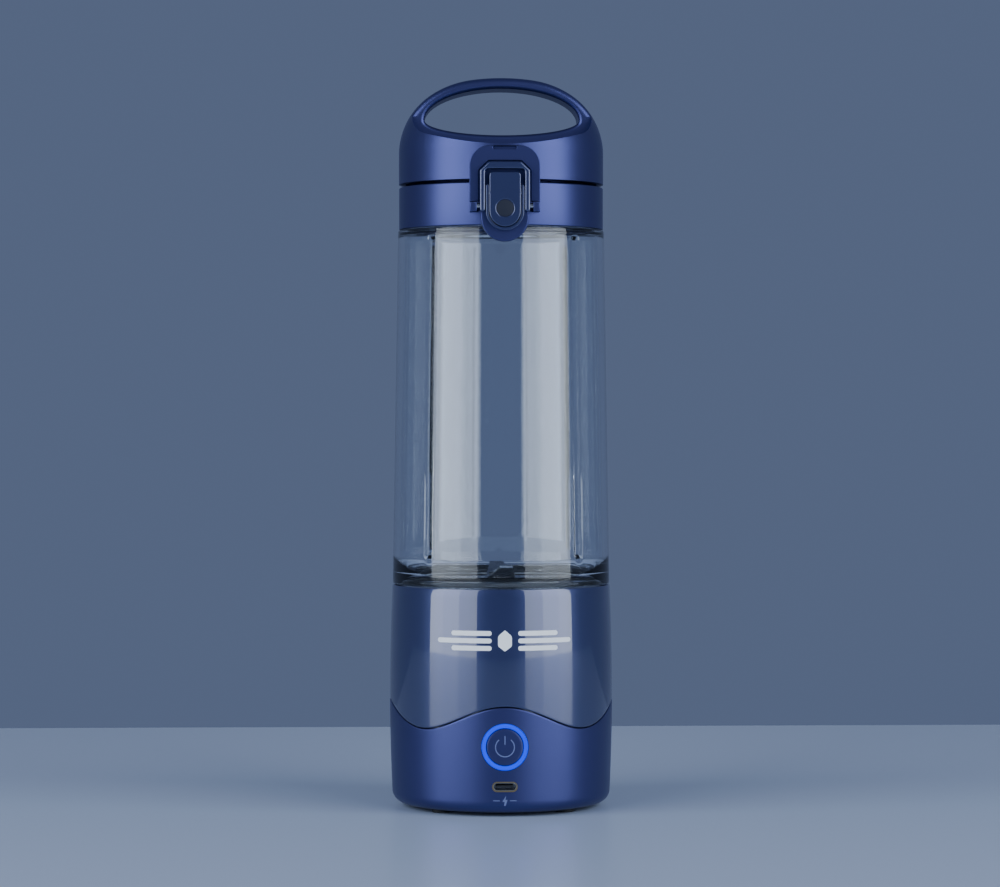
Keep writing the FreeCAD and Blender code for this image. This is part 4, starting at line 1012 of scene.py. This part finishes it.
    def button(self) -> None:
        """Builds the power button with its shallow dished face and its stem."""
        rim, rim_depth, stem, stem_depth = self.button_radius, 2.4, 2.2, 5.1
        face = [(r, self.dish(r)) for r in (0, 1.2, 2.4, 3.6, 4.8, 5.8, self.dish_radius)]
        outline = [
            *face,
            (rim - 0.2, 0.08),
            (rim, 0.35),
            (rim, rim_depth),
            (stem, rim_depth),
            (stem, stem_depth),
            (0, stem_depth),
        ]
        cap = bmesh.new()
        spun(cap, outline, (0, 0, self.button_z), BACKWARD, 96)
        self.onto_side(cap)
        settle("button_cap", cap, Ride.BUTTON, SATIN, ("power_button",))

    def power_mark(self) -> None:
        """Builds the raised mark on the button, an open ring and a bar."""
        line, rear = 0.42, 0.25
        mark = bmesh.new()
        self.open_ring(mark, 3.55, line, rear, math.radians(38))
        slab(mark, box_corners(line / 2, self.button_z + 1.0, self.button_z + 4.3), -rear, 0.02)
        for vert in mark.verts:
            spread = math.hypot(vert.co.x, vert.co.z - self.button_z)
            vert.co.y += self.dish(spread) - 0.08
        self.onto_side(mark)
        settle("power_mark", mark, Ride.BUTTON, ICON)

    def open_ring(self, bm: Mesh, radius: float, width: float, depth: float, gap: float) -> None:
        """Adds a flat ring round the button's axis, open at its top.

        Args:
            bm: Mesh to add to.
            radius: Middle radius.
            width: Width of the band.
            depth: Depth of the band.
            gap: Half of the angle that stays open.
        """
        centre = Vector((0, 0, self.button_z))
        inner, outer = radius - width / 2, radius + width / 2
        start = Matrix.Rotation(gap, 3, "Y")
        corners = [(inner, depth), (outer, depth), (outer, 0), (inner, 0)]
        edges = loop_edges(bm, [centre + start @ Vector((0, y, r)) for r, y in corners])
        face = bmesh.ops.contextual_create(bm, geom=edges)["faces"]
        angle = 2 * (math.pi - gap)
        bmesh.ops.spin(bm, geom=face, cent=centre, axis=BACKWARD, angle=angle, steps=48, use_duplicate=False)

    def front_ornament(self) -> None:
        """Builds the plain ornament on the glossy shell: a lozenge between two sets of bars."""
        z = self.ornament_z
        lozenge = [
            (-2.6, z - 2.0, 1.2),
            (0.0, z - 4.0, 0.5),
            (2.6, z - 2.0, 1.2),
            (2.6, z + 1.8, 1.8),
            (0.0, z + 4.0, 0.4),
            (-2.6, z + 1.8, 1.8),
        ]
        ornament = bmesh.new()
        slab(ornament, rounded_path(lozenge, 6), 0.0, self.print_depth)
        start, half = 5.0, 0.9
        for side in (-1, 1):
            for length, middle in ((20.0, z), (15.0, z + 2.8), (15.0, z - 2.8)):
                left, right = sorted((side * start, side * (start + length)))
                bar = oblong(left, right, middle - half, middle + half, 0.85)
                slab(ornament, rounded_path(bar, 5), 0.0, self.print_depth)
        divided(ornament)
        self.onto_side(ornament, self.print_lift)
        settle("front_ornament", ornament, Ride.BASE, PRINT)

    def charge_icon(self) -> None:
        """Builds the charging icon under the port: a bolt between two lines."""
        z = self.icon_z
        bolt = [
            (-0.35, z - 1.9),
            (0.25, z - 1.9),
            (1.0, z + 0.35),
            (0.2, z + 0.35),
            (0.45, z + 1.9),
            (-1.0, z - 0.4),
            (-0.1, z - 0.4),
        ]
        icon = bmesh.new()
        slab(icon, bolt, 0.0, self.print_depth)
        start, end, half = 1.9, 4.4, 0.16
        for side in (-1, 1):
            left, right = sorted((side * start, side * end))
            slab(icon, oblong(left, right, z - half, z + half), 0.0, self.print_depth)
        divided(icon)
        self.onto_side(icon, self.print_lift)
        settle("charge_icon", icon, Ride.BASE, ICON)

    def feet(self) -> None:
        """Builds four soft feet with rounded rims, each on a plug."""
        pad, pad_top, plug, plug_top = 3.6, 1.4, 1.5, 3.5
        corners = [(0, 0), (pad, 0, 0.5), (pad, pad_top), (plug, pad_top), (plug, plug_top), (0, plug_top)]
        for number, turn in enumerate((45, 135, 225, 315), 1):
            x, y = (self.feet_ring * f(math.radians(turn)) for f in (math.cos, math.sin))
            foot = bmesh.new()
            spun(foot, rounded_path(corners, 4), (x, y, 0), steps=48)
            stands_for = ("rubber_feet",) if number == 1 else ()
            settle(f"rubber_foot_{number}", foot, Ride.BASE, RUBBER, stands_for)

    def build(self) -> None:
        """Builds the base."""
        self.upper_housing()
        self.housing_sleeve()
        self.lower_housing()
        self.port_rim()
        self.light_ring()
        self.button()
        self.power_mark()
        self.front_ornament()
        self.charge_icon()
        self.feet()


# ---- cup ----------------------------------------------------------------------------------------


@dataclass
class Thread:
    """Helical ridge pushed out of a finely divided neck.

    Attributes:
        radius: Radius of the neck.
        start: Height at the ridge's first end.
        pitch: Rise in one turn.
        turns: Number of turns.
        reach: Height of the ridge, negative for one that points inwards.
        first_turn: Angle in degrees where the ridge starts.
        half: Half of its width at the foot.
        flank: Width of each sloping side.
        run_outs: Number of times that the fade at an end fits into a turn.
    """

    radius: float
    start: float
    pitch: float
    turns: float
    reach: float = 1.4
    first_turn: float = 0.0
    half: float = 0.95
    flank: float = 0.5
    run_outs: float = 20.0

    def rise_on(self, bm: Mesh) -> None:
        """Moves the neck's points out along the ridge.

        Args:
            bm: Mesh to change.
        """
        for vert in bm.verts:
            radius = math.hypot(vert.co.x, vert.co.y)
            if abs(radius - self.radius) > 0.02:
                continue
            around = (math.degrees(math.atan2(vert.co.y, vert.co.x)) - self.first_turn) % 360 / 360
            best = 0.0
            for turn in range(math.ceil(self.turns) + 1):
                along = turn + around
                if along > self.turns:
                    break
                off = abs(vert.co.z - self.start - self.pitch * along)
                ends = ease(min(along, self.turns - along) * self.run_outs)
                best = max(best, ease((self.half - off) / self.flank) * ends)
            scale = 1 + best * self.reach / radius
            vert.co.x *= scale
            vert.co.y *= scale


@dataclass
class Cup:
    """Clear tapered cup with four ribs inside and a threaded neck at each end.

    Attributes:
        low: Lower end of the neck in the base.
        foot_z: Height of its shoulder on the base.
        top_z: Height of its shoulder under the lid.
        high: Upper end of the neck in the lid.
        foot_radius: Outer radius at the foot.
        top_radius: Outer radius at the top.
        foot_neck: Outer radius of the neck in the base.
        foot_bore: Inner radius of the neck in the base.
        top_neck: Outer radius of the neck in the lid.
        top_bore: Inner radius of the neck in the lid.
        wall: Wall thickness.
        rib_low: Height where the ribs start.
        rib_high: Height where they end.
        rib_fade: Height over which each end dies out.
        rib_depth: How far the ribs stand in.
        rib_half: Half of a rib's width.
        rib_flank: Width of each sloping side.
    """

    low: float = 75.3
    foot_z: float = 85.8
    top_z: float = 222.4
    high: float = 235.4
    foot_radius: float = 42.0
    top_radius: float = 39.9
    foot_neck: float = 36.6
    foot_bore: float = 34.2
    top_neck: float = 35.6
    top_bore: float = 33.2
    wall: float = 2.6
    rib_low: float = 96.0
    rib_high: float = 219.4
    rib_fade: float = 2.5
    rib_depth: float = 1.7
    rib_half: float = 1.45
    rib_flank: float = 0.7

    def outer(self, z: float) -> float:
        """Works out the outer radius at a height."""
        share = (z - self.foot_z) / (self.top_z - self.foot_z)
        return self.foot_radius + (self.top_radius - self.foot_radius) * share

    def taper(self, low: float, high: float, inset: float, count: int) -> list[Point]:
        """Lists points along the tapered wall.

        Args:
            low: Height of the first point.
            high: Height of the last point.
            inset: How far inside the outer side they lie.
            count: Number of steps between them.

        Returns:
            The points.
        """
        heights = [low + (high - low) * k / count for k in range(count + 1)]
        return [(self.outer(z) - inset, z) for z in heights]

    def neck(self, radius: float, low: float, high: float) -> list[Point]:
        """Lists points up a neck, near enough to each other for a thread.

        Args:
            radius: Radius of the neck.
            low: Height of the first point.
            high: Height of the last point.

        Returns:
            The points.
        """
        count = math.ceil(abs(high - low) / 0.35)
        return [(radius, low + (high - low) * k / count) for k in range(count + 1)]

    def outline(self) -> list[Point]:
        """Draws the closed outline of the wall with both necks.

        Returns:
            Points of the outline.
        """
        outside = [
            (self.foot_bore, self.low),
            (self.foot_neck - 0.3, self.low),
            *self.neck(self.foot_neck, self.low + 0.3, self.foot_z - 0.2),
            (self.foot_neck, self.foot_z),
            (self.foot_radius - 0.7, self.foot_z),
            (self.foot_radius - 0.25, self.foot_z + 0.2),
            *self.taper(self.foot_z + 0.7, self.top_z - 0.8, 0.0, 40),
            (self.top_radius - 0.2, self.top_z - 0.2),
            (self.top_radius - 0.7, self.top_z),
            (self.top_neck, self.top_z),
            *self.neck(self.top_neck, self.top_z + 0.4, self.high - 0.4),
            (self.top_neck - 0.3, self.high),
        ]
        inside_shoulder = [
            (self.top_bore, 224.2),
            (33.5, 223.2),
            (34.3, 222.5),
            (35.6, 221.6),
            (36.5, 220.9),
            (37.1, 220.1),
        ]
        inside_foot = [
            (38.9, 93.0),
            (37.8, 89.6),
            (36.2, 87.6),
            (34.6, 86.6),
            (self.foot_bore, self.foot_z),
        ]
        inside = [
            (self.top_bore + 0.3, self.high),
            (self.top_bore, self.high - 0.3),
            *inside_shoulder,
            *self.taper(self.rib_high, self.rib_high - 5.0, self.wall, 10),
            *self.taper(212.0, 102.0, self.wall, 20),
            *self.taper(self.rib_low + 5.0, self.rib_low, self.wall, 10),
            *inside_foot,
        ]
        return outside + inside

    def raise_ribs(self, bm: Mesh) -> None:
        """Pulls the inner wall in along four upright ribs.

        Args:
            bm: Mesh to change.
        """
        for vert in bm.verts:
            radius = math.hypot(vert.co.x, vert.co.y)
            ends = ease(min(vert.co.z - self.rib_low, self.rib_high - vert.co.z) / self.rib_fade)
            if ends == 0 or radius > self.outer(vert.co.z) - self.wall / 2:
                continue
            around = (math.degrees(math.atan2(vert.co.y, vert.co.x)) - 45) % 90
            off = min(around, 90 - around) * math.pi / 180 * radius
            height = ease((self.rib_half + self.rib_flank / 2 - off) / self.rib_flank)
            scale = 1 - ends * self.rib_depth * height / radius
            vert.co.x *= scale
            vert.co.y *= scale

    def build(self) -> None:
        """Builds the cup."""
        glass = bmesh.new()
        spun(glass, self.outline(), steps=480)
        self.raise_ribs(glass)
        Thread(self.foot_neck, start=79.7, pitch=5.0, turns=1.0, first_turn=45).rise_on(glass)
        Thread(self.top_neck, start=226.2, pitch=4.0, turns=1.25, first_turn=45).rise_on(glass)
        settle("clear_cup", glass, Ride.CUP, CLEAR, ("blending_cup",), crease=50)


# ---- lid ----------------------------------------------------------------------------------------


@dataclass
class Lid:
    """Screw-on collar with its spout and latch bracket, and the flip cap over it.

    Attributes:
        radius: Outer radius.
        low: Bottom of the collar.
        deck: Underside of the collar's deck.
        high: Top of the collar.
        bore: Radius of its threaded inside.
        spout_y: Distance of the spout ahead of the axis.
        spout_bore: Radius of the spout's hole.
        hinge_y: Distance of the rear hinge behind the axis.
        hinge_z: Height of the rear hinge.
        button_foot: Height of the centre of the latch button's round end.
        pocket_half: Half width of the pocket that the button rocks in.
        pocket_back: Distance of the pocket's rear face.
        cap_low: Bottom of the cap.
    """

    radius: float = 39.5
    low: float = 222.6
    deck: float = 236.6
    high: float = 238.8
    bore: float = 37.4
    spout_y: float = 18.0
    spout_bore: float = 7.2
    hinge_y: float = 41.6
    hinge_z: float = 239.45
    button_foot: float = 227.6
    pocket_half: float = 6.1
    pocket_back: float = 41.4
    cap_low: float = 240.1

    def collar_shell(self) -> None:
        """Builds the threaded ring with its deck, bored for the spout."""
        count = 36
        top, foot = self.deck - 0.1, self.low + 0.3
        wall = [(self.bore, top - (top - foot) * k / count) for k in range(count + 1)]
        outside = [
            (self.bore, self.low),
            (self.radius, self.low, 0.4),
            (self.radius, self.high, 0.5),
            (0, self.high),
        ]
        shell = bmesh.new()
        spun(shell, [(0, self.deck), (self.bore - 0.1, self.deck), *wall, *rounded_path(outside, 4)])
        Thread(self.bore, start=228.2, pitch=4.0, turns=1.25, reach=-1.4).rise_on(shell)
        hole = drum(self.spout_bore, 230, 250, (0, -self.spout_y, 0))
        hinge_room = drum(3.8, -7, 7, (0, self.hinge_y, self.hinge_z), ACROSS)
        shell = carved(shell, [hole, hinge_room])
        settle("collar_shell", shell, Ride.COLLAR, SATIN, ("lid_collar",))

    def spout(self) -> None:
        """Builds the drinking spout on the deck."""
        outer, low, high, edge = 9.0, 238.7, 247.5, 0.7
        corners = [
            (self.spout_bore, low),
            (outer, low),
            (outer, high, edge),
            (self.spout_bore, high, edge),
        ]
        ring = bmesh.new()
        spun(ring, rounded_path(corners, 4), (0, -self.spout_y, 0), steps=96)
        settle("spout_ring", ring, Ride.COLLAR, SATIN)

    def hinge_lugs(self) -> None:
        """Builds two barrels behind the collar and the webs that hold them."""
        bore, barrel, length, edge, web_back = 1.25, 3.4, 4.0, 0.3, 37.6
        y, z = self.hinge_y, self.hinge_z
        lugs = bmesh.new()
        for start in (7.0, -11.0):
            end = start + length
            outline = [(bore, start), (barrel, start, edge), (barrel, end, edge), (bore, end)]
            spun(lugs, rounded_path(outline, 3), (0, y, z), ACROSS, 64)
            corners = [(web_back, 231.2), (y + 2.3, z - 2.3), (y + 0.4, z - 1.4), (web_back, 238.2)]
            prism(lugs, [(start + 0.05, *corner) for corner in corners], (length - 0.1, 0, 0))
        settle("hinge_lugs", lugs, Ride.COLLAR, SATIN)

    def button_pocket(self) -> Mesh:
        """Makes the cutter for the pocket that the latch button rocks in."""
        return plate(round_ended(self.pocket_half, self.button_foot, 239.0), self.pocket_back, FAR_FRONT)

    def shoulder_room(self) -> Mesh:
        """Makes the cutter that clears the cup's shoulder below the collar."""
        return drum(self.radius + 1.0, FAR_BELOW, self.low)

    def latch_tab(self) -> None:
        """Builds the round tab behind the latch button."""
        front = 42.4
        tab = plate(round_ended(9.0, 225.2, 228.4), 38.4, front)
        tab = carved(tab, [self.shoulder_room(), self.button_pocket()])
        soften(tab, in_front(front - 0.2), 0.5)
        evened(settle("latch_tab", tab, Ride.COLLAR, SATIN))

    def latch_walls(self) -> None:
        """Builds the walls beside the latch button, bored for its pin."""
        front = 44.4
        walls = plate(round_ended(7.2, self.button_foot, 237.5, 0.8), 38.5, front)
        upper_room = plate(box_corners(self.pocket_half, 232.26, 239.0), 39.5, FAR_FRONT)
        pin_hole = drum(0.8, -9, 9, BUTTON_PIVOT, ACROSS)
        walls = carved(walls, [self.button_pocket(), upper_room, self.shoulder_room(), pin_hole])
        soften(walls, in_front(front - 0.2), 0.3)
        evened(settle("latch_walls", walls, Ride.COLLAR, GLOSS))

    def lock_ears(self) -> None:
        """Builds the two ears that hold the lock ring's pins."""
        back, front, low, high, width = 36.1, 44.0, 227.4, 231.0, 2.5
        ears = bmesh.new()
        for start in (10.6, -13.1):
            side = [(start, -back, low), (start, -front, low), (start, -front, high), (start, -back, high)]
            prism(ears, side, (width, 0, 0))
        soften(ears, in_front(40.0), 0.35)
        settle("lock_ears", ears, Ride.COLLAR, SATIN)

    def cap_dome(self) -> None:
        """Builds the dome and its handle, without the arch on its front."""

        def on_the_arch(spot: Vector) -> bool:
            """Says whether a corner stands out in front of the dome."""
            return spot.y < 0 and math.hypot(spot.x, spot.y) > self.radius + 0.1

        dome = refined("flip_cap", on_the_arch)
        evened(settle("cap_dome", dome, Ride.CAP, SATIN, ("flip_cap",), crease=28))

    def cap_arch(self) -> None:
        """Builds the arch on the cap's front that frames the latch."""
        half, low, high, crown, front = 13.25, 231.4, 252.4, 7.5, 41.8
        arch = plate(
            rounded_path([(-half, low), (half, low), (half, high, crown), (-half, high, crown)], 14),
            37.05,
            front,
        )
        recess_half, side_high, top_half, recess_high, edge = 9.9, 243.1, 6.3, 246.75, 1.0
        recess = [
            (-recess_half, 225),
            (recess_half, 225),
            (recess_half, side_high, edge),
            (top_half, recess_high, edge),
            (-top_half, recess_high, edge),
            (-recess_half, side_high, edge),
        ]
        tools = [
            plate(rounded_path(recess), 39.7, FAR_FRONT),
            drum(self.radius + 0.4, FAR_BELOW, self.cap_low),
            plate(rounded_path(box_corners(4.5, 251.0, 252.0, 0.45), 4), front - 1.0, FAR_FRONT),
        ]
        arch = carved(arch, tools)
        soften(arch, in_front(front - 0.1), 0.55)
        evened(settle("cap_arch", arch, Ride.CAP, SATIN))

    def build(self) -> None:
        """Builds the lid."""
        self.collar_shell()
        self.spout()
        self.hinge_lugs()
        self.latch_tab()
        self.latch_walls()
        self.lock_ears()
        self.cap_dome()
        self.cap_arch()


@dataclass
class Latch:
    """Rocking button and the lock ring that swings over it.

    Attributes:
        button_half: Half width of the button.
        button_foot: Height of the centre of its round end.
        button_top: Height of its top.
        button_back: Distance of its rear face.
        button_front: Distance of its face.
        dimple_z: Height of the thumb dimple.
        dimple_radius: Radius of the thumb dimple.
        spring_z: Height of the spring's seat.
        ring_front: Distance of the lock ring's face.
        ring_depth: Thickness of the lock ring.
    """

    button_half: float = 5.9
    button_foot: float = 227.6
    button_top: float = 242.1
    button_back: float = 42.7
    button_front: float = 45.0
    dimple_z: float = 228.6
    dimple_radius: float = 3.2
    spring_z: float = 226.6
    ring_front: float = 44.4
    ring_depth: float = 4.0

    def button(self) -> None:
        """Builds the button with its hook and its pivot boss."""
        outline = round_ended(self.button_half, self.button_foot, self.button_top, 1.2)
        body = plate(outline, self.button_back, self.button_front)
        dimple = drum(3.34, -FAR_FRONT, -44.6, (0, 0, self.dimple_z), BACKWARD)
        seat = drum(1.9, -43.8, -40, (0, 0, self.spring_z), BACKWARD)
        body = carved(body, [dimple, seat])
        soften(body, in_front(self.button_front - 0.1), 0.6)
        slab(body, box_corners(4.9, 239.6, self.button_top), 40.3, self.button_back + 0.05)
        bore, boss, edge, half = 0.85, 1.6, 0.2, self.button_half
        outline = rounded_path([(bore, -half), (boss, -half, edge), (boss, half, edge), (bore, half)], 3)
        spun(body, outline, BUTTON_PIVOT, ACROSS, 48)
        evened(settle("latch_rocker", body, Ride.LATCH, GLOSS, ("latch_button",), crease=50))

    def thumb_dimple_shade(self) -> None:
        """Builds the dark disc in the button's dimple, which paints the shade that falls inside the dimple.
        """
        rear, face, radius = -44.55, -44.72, self.dimple_radius
        outline = rounded_path([(0, rear), (0, face), (radius, face, 0.1), (radius, rear)], 3)
        thumb = bmesh.new()
        spun(thumb, outline, (0, 0, self.dimple_z), BACKWARD, 64)
        settle("thumb_dimple_shade", thumb, Ride.LATCH, DIMPLE_SHADE)

    def lock_ring(self) -> None:
        """Builds the lock ring, an upside-down U with well rounded edges."""
        inner, outer, low, inner_high = 7.4, 9.5, 227.4, 243.4
        side_high, top_half, high = 242.9, 6.1, 246.1
        foot_edge, edge = 0.8, 1.2
        outline = [
            (-outer, low, foot_edge),
            (-inner, low, foot_edge),
            (-inner, inner_high, edge),
            (inner, inner_high, edge),
            (inner, low, foot_edge),
            (outer, low, foot_edge),
            (outer, side_high, edge),
            (top_half, high, edge),
            (-top_half, high, edge),
            (-outer, side_high, edge),
        ]
        ring = plate(rounded_path(outline, 6), self.ring_front - self.ring_depth, self.ring_front)
        hole = drum(0.9, -12, 12, LOCK_PIVOT, ACROSS)
        soften(ring, lambda side: abs(side.verts[0].co.y - side.verts[1].co.y) < 0.01, 0.7)
        ring = carved(ring, [hole])
        evened(settle("lock_loop", ring, Ride.LOCK, GLOSS, ("lock_ring",), crease=50))

    def build(self) -> None:
        """Builds the latch."""
        self.button()
        self.thumb_dimple_shade()
        self.lock_ring()


def carry_over() -> None:
    """Gives each frame node the finish of its slot, for the ones that stay in view."""
    names = {entry.value: finish for entry, finish in SLOT_FINISH.items()}
    slots = {part["node"]: part["material_slot"] for part in frame["record"]["subparts"]}
    for name, node in frame["nodes"].items():
        finish = names.get(slots.get(name), STEEL)
        node.data.materials.clear()
        node.data.materials.append(finish.material())


# ---- stage --------------------------------------------------------------------------------------


@dataclass(frozen=True)
class Softbox:
    """Upright strip of soft light.

    Attributes:
        turn: Degrees round the object from its front, positive to the right.
        width: Width in metres.
        radiance: Brightness of its face.
        height: Height in metres.
        middle: Height of its middle in metres.
        distance: Distance from the object's axis in metres.
        tint: Its colour.
    """

    turn: float
    width: float
    radiance: float
    height: float = 1.7
    middle: float = 0.55
    distance: float = 1.35
    tint: Spot = (0.82, 0.91, 1.0)

    def build(self) -> None:
        """Hangs the light so that it faces the object."""
        data = bpy.data.lights.new("softbox", "AREA")
        data.shape = "RECTANGLE"
        data.size = self.width
        data.size_y = self.height
        data.color = self.tint
        data.energy = self.radiance * math.pi * self.width * self.height
        turn = math.radians(self.turn)
        lamp = bpy.data.objects.new("softbox", data)
        lamp.location = (self.distance * math.sin(turn), -self.distance * math.cos(turn), self.middle)
        lamp.rotation_euler = (math.radians(90), 0, turn)
        bpy.context.scene.collection.objects.link(lamp)


@dataclass
class Stage:
    """Pale floor, soft lights and the camera. Lengths are in metres.

    Attributes:
        turn: Degrees round the object from its front where the camera stands.
        eye_distance: Distance of the camera from the object's axis.
        eye_height: Height of the camera.
        lens: Focal length in millimetres.
        floor_half: Half width of the floor, which reaches as far to the front.
        floor_back: Distance of its rear edge behind the object's axis.
        floor_depth: Thickness of the floor.
        sky_strength: Brightness of the sky.
    """

    turn: float = -2.0
    eye_distance: float = 1.257
    eye_height: float = 0.156
    lens: float = 116.6
    floor_half: float = 1.3
    floor_back: float = 0.3
    floor_depth: float = 0.02
    sky_strength: float = 0.42

    def floor(self) -> None:
        """Lays the broad pale floor, with its rear edge a little behind the object."""
        half, back, depth = self.floor_half, self.floor_back, self.floor_depth
        corners = [(-half, -half), (half, -half), (half, back), (-half, back)]
        bm = bmesh.new()
        prism(bm, [(x, y, -depth) for x, y in corners], (0, 0, depth))
        bmesh.ops.recalc_face_normals(bm, faces=bm.faces)
        mesh = bpy.data.meshes.new("floor")
        bm.to_mesh(mesh)
        bm.free()
        ground = bpy.data.objects.new("floor", mesh)
        bpy.context.scene.collection.objects.link(ground)
        mesh.materials.append(PALE_FLOOR.material())

    def lights(self) -> None:
        """Hangs strip lights on both sides and an even dim sky."""
        for side in (-1, 1):
            for turn, width, radiance in ((34, 0.45, 3.0), (53, 0.45, 4.2), (70, 0.36, 4.6)):
                Softbox(side * turn + self.turn, width, radiance).build()
        world = bpy.data.worlds.new("sky")
        bpy.context.scene.world = world
        world.use_nodes = True
        back = world.node_tree.nodes["Background"]
        back.inputs["Color"].default_value = linear(132, 150, 192)
        back.inputs["Strength"].default_value = self.sky_strength

    def camera(self) -> None:
        """Sets up the level camera in front, a little to the left."""
        data = bpy.data.cameras.new("camera")
        data.sensor_width = 36
        data.lens = self.lens
        data.shift_x = -0.001
        data.shift_y = -0.0415
        data.clip_end = 60
        turn = math.radians(self.turn)
        eye = bpy.data.objects.new("camera", data)
        distance = self.eye_distance
        eye.location = (distance * math.sin(turn), -distance * math.cos(turn), self.eye_height)
        eye.rotation_euler = (math.radians(90), 0, turn)
        bpy.context.scene.collection.objects.link(eye)
        bpy.context.scene.camera = eye

    def build(self) -> None:
        """Sets the stage."""
        self.floor()
        self.lights()
        self.camera()


def main() -> None:
    """Builds every piece and the stage."""
    logging.basicConfig(level=logging.INFO, format="%(name)s %(message)s")
    carry_over()
    MotorBase().build()
    Cup().build()
    Lid().build()
    Latch().build()
    Stage().build()


if __name__ == "__main__":
    main()
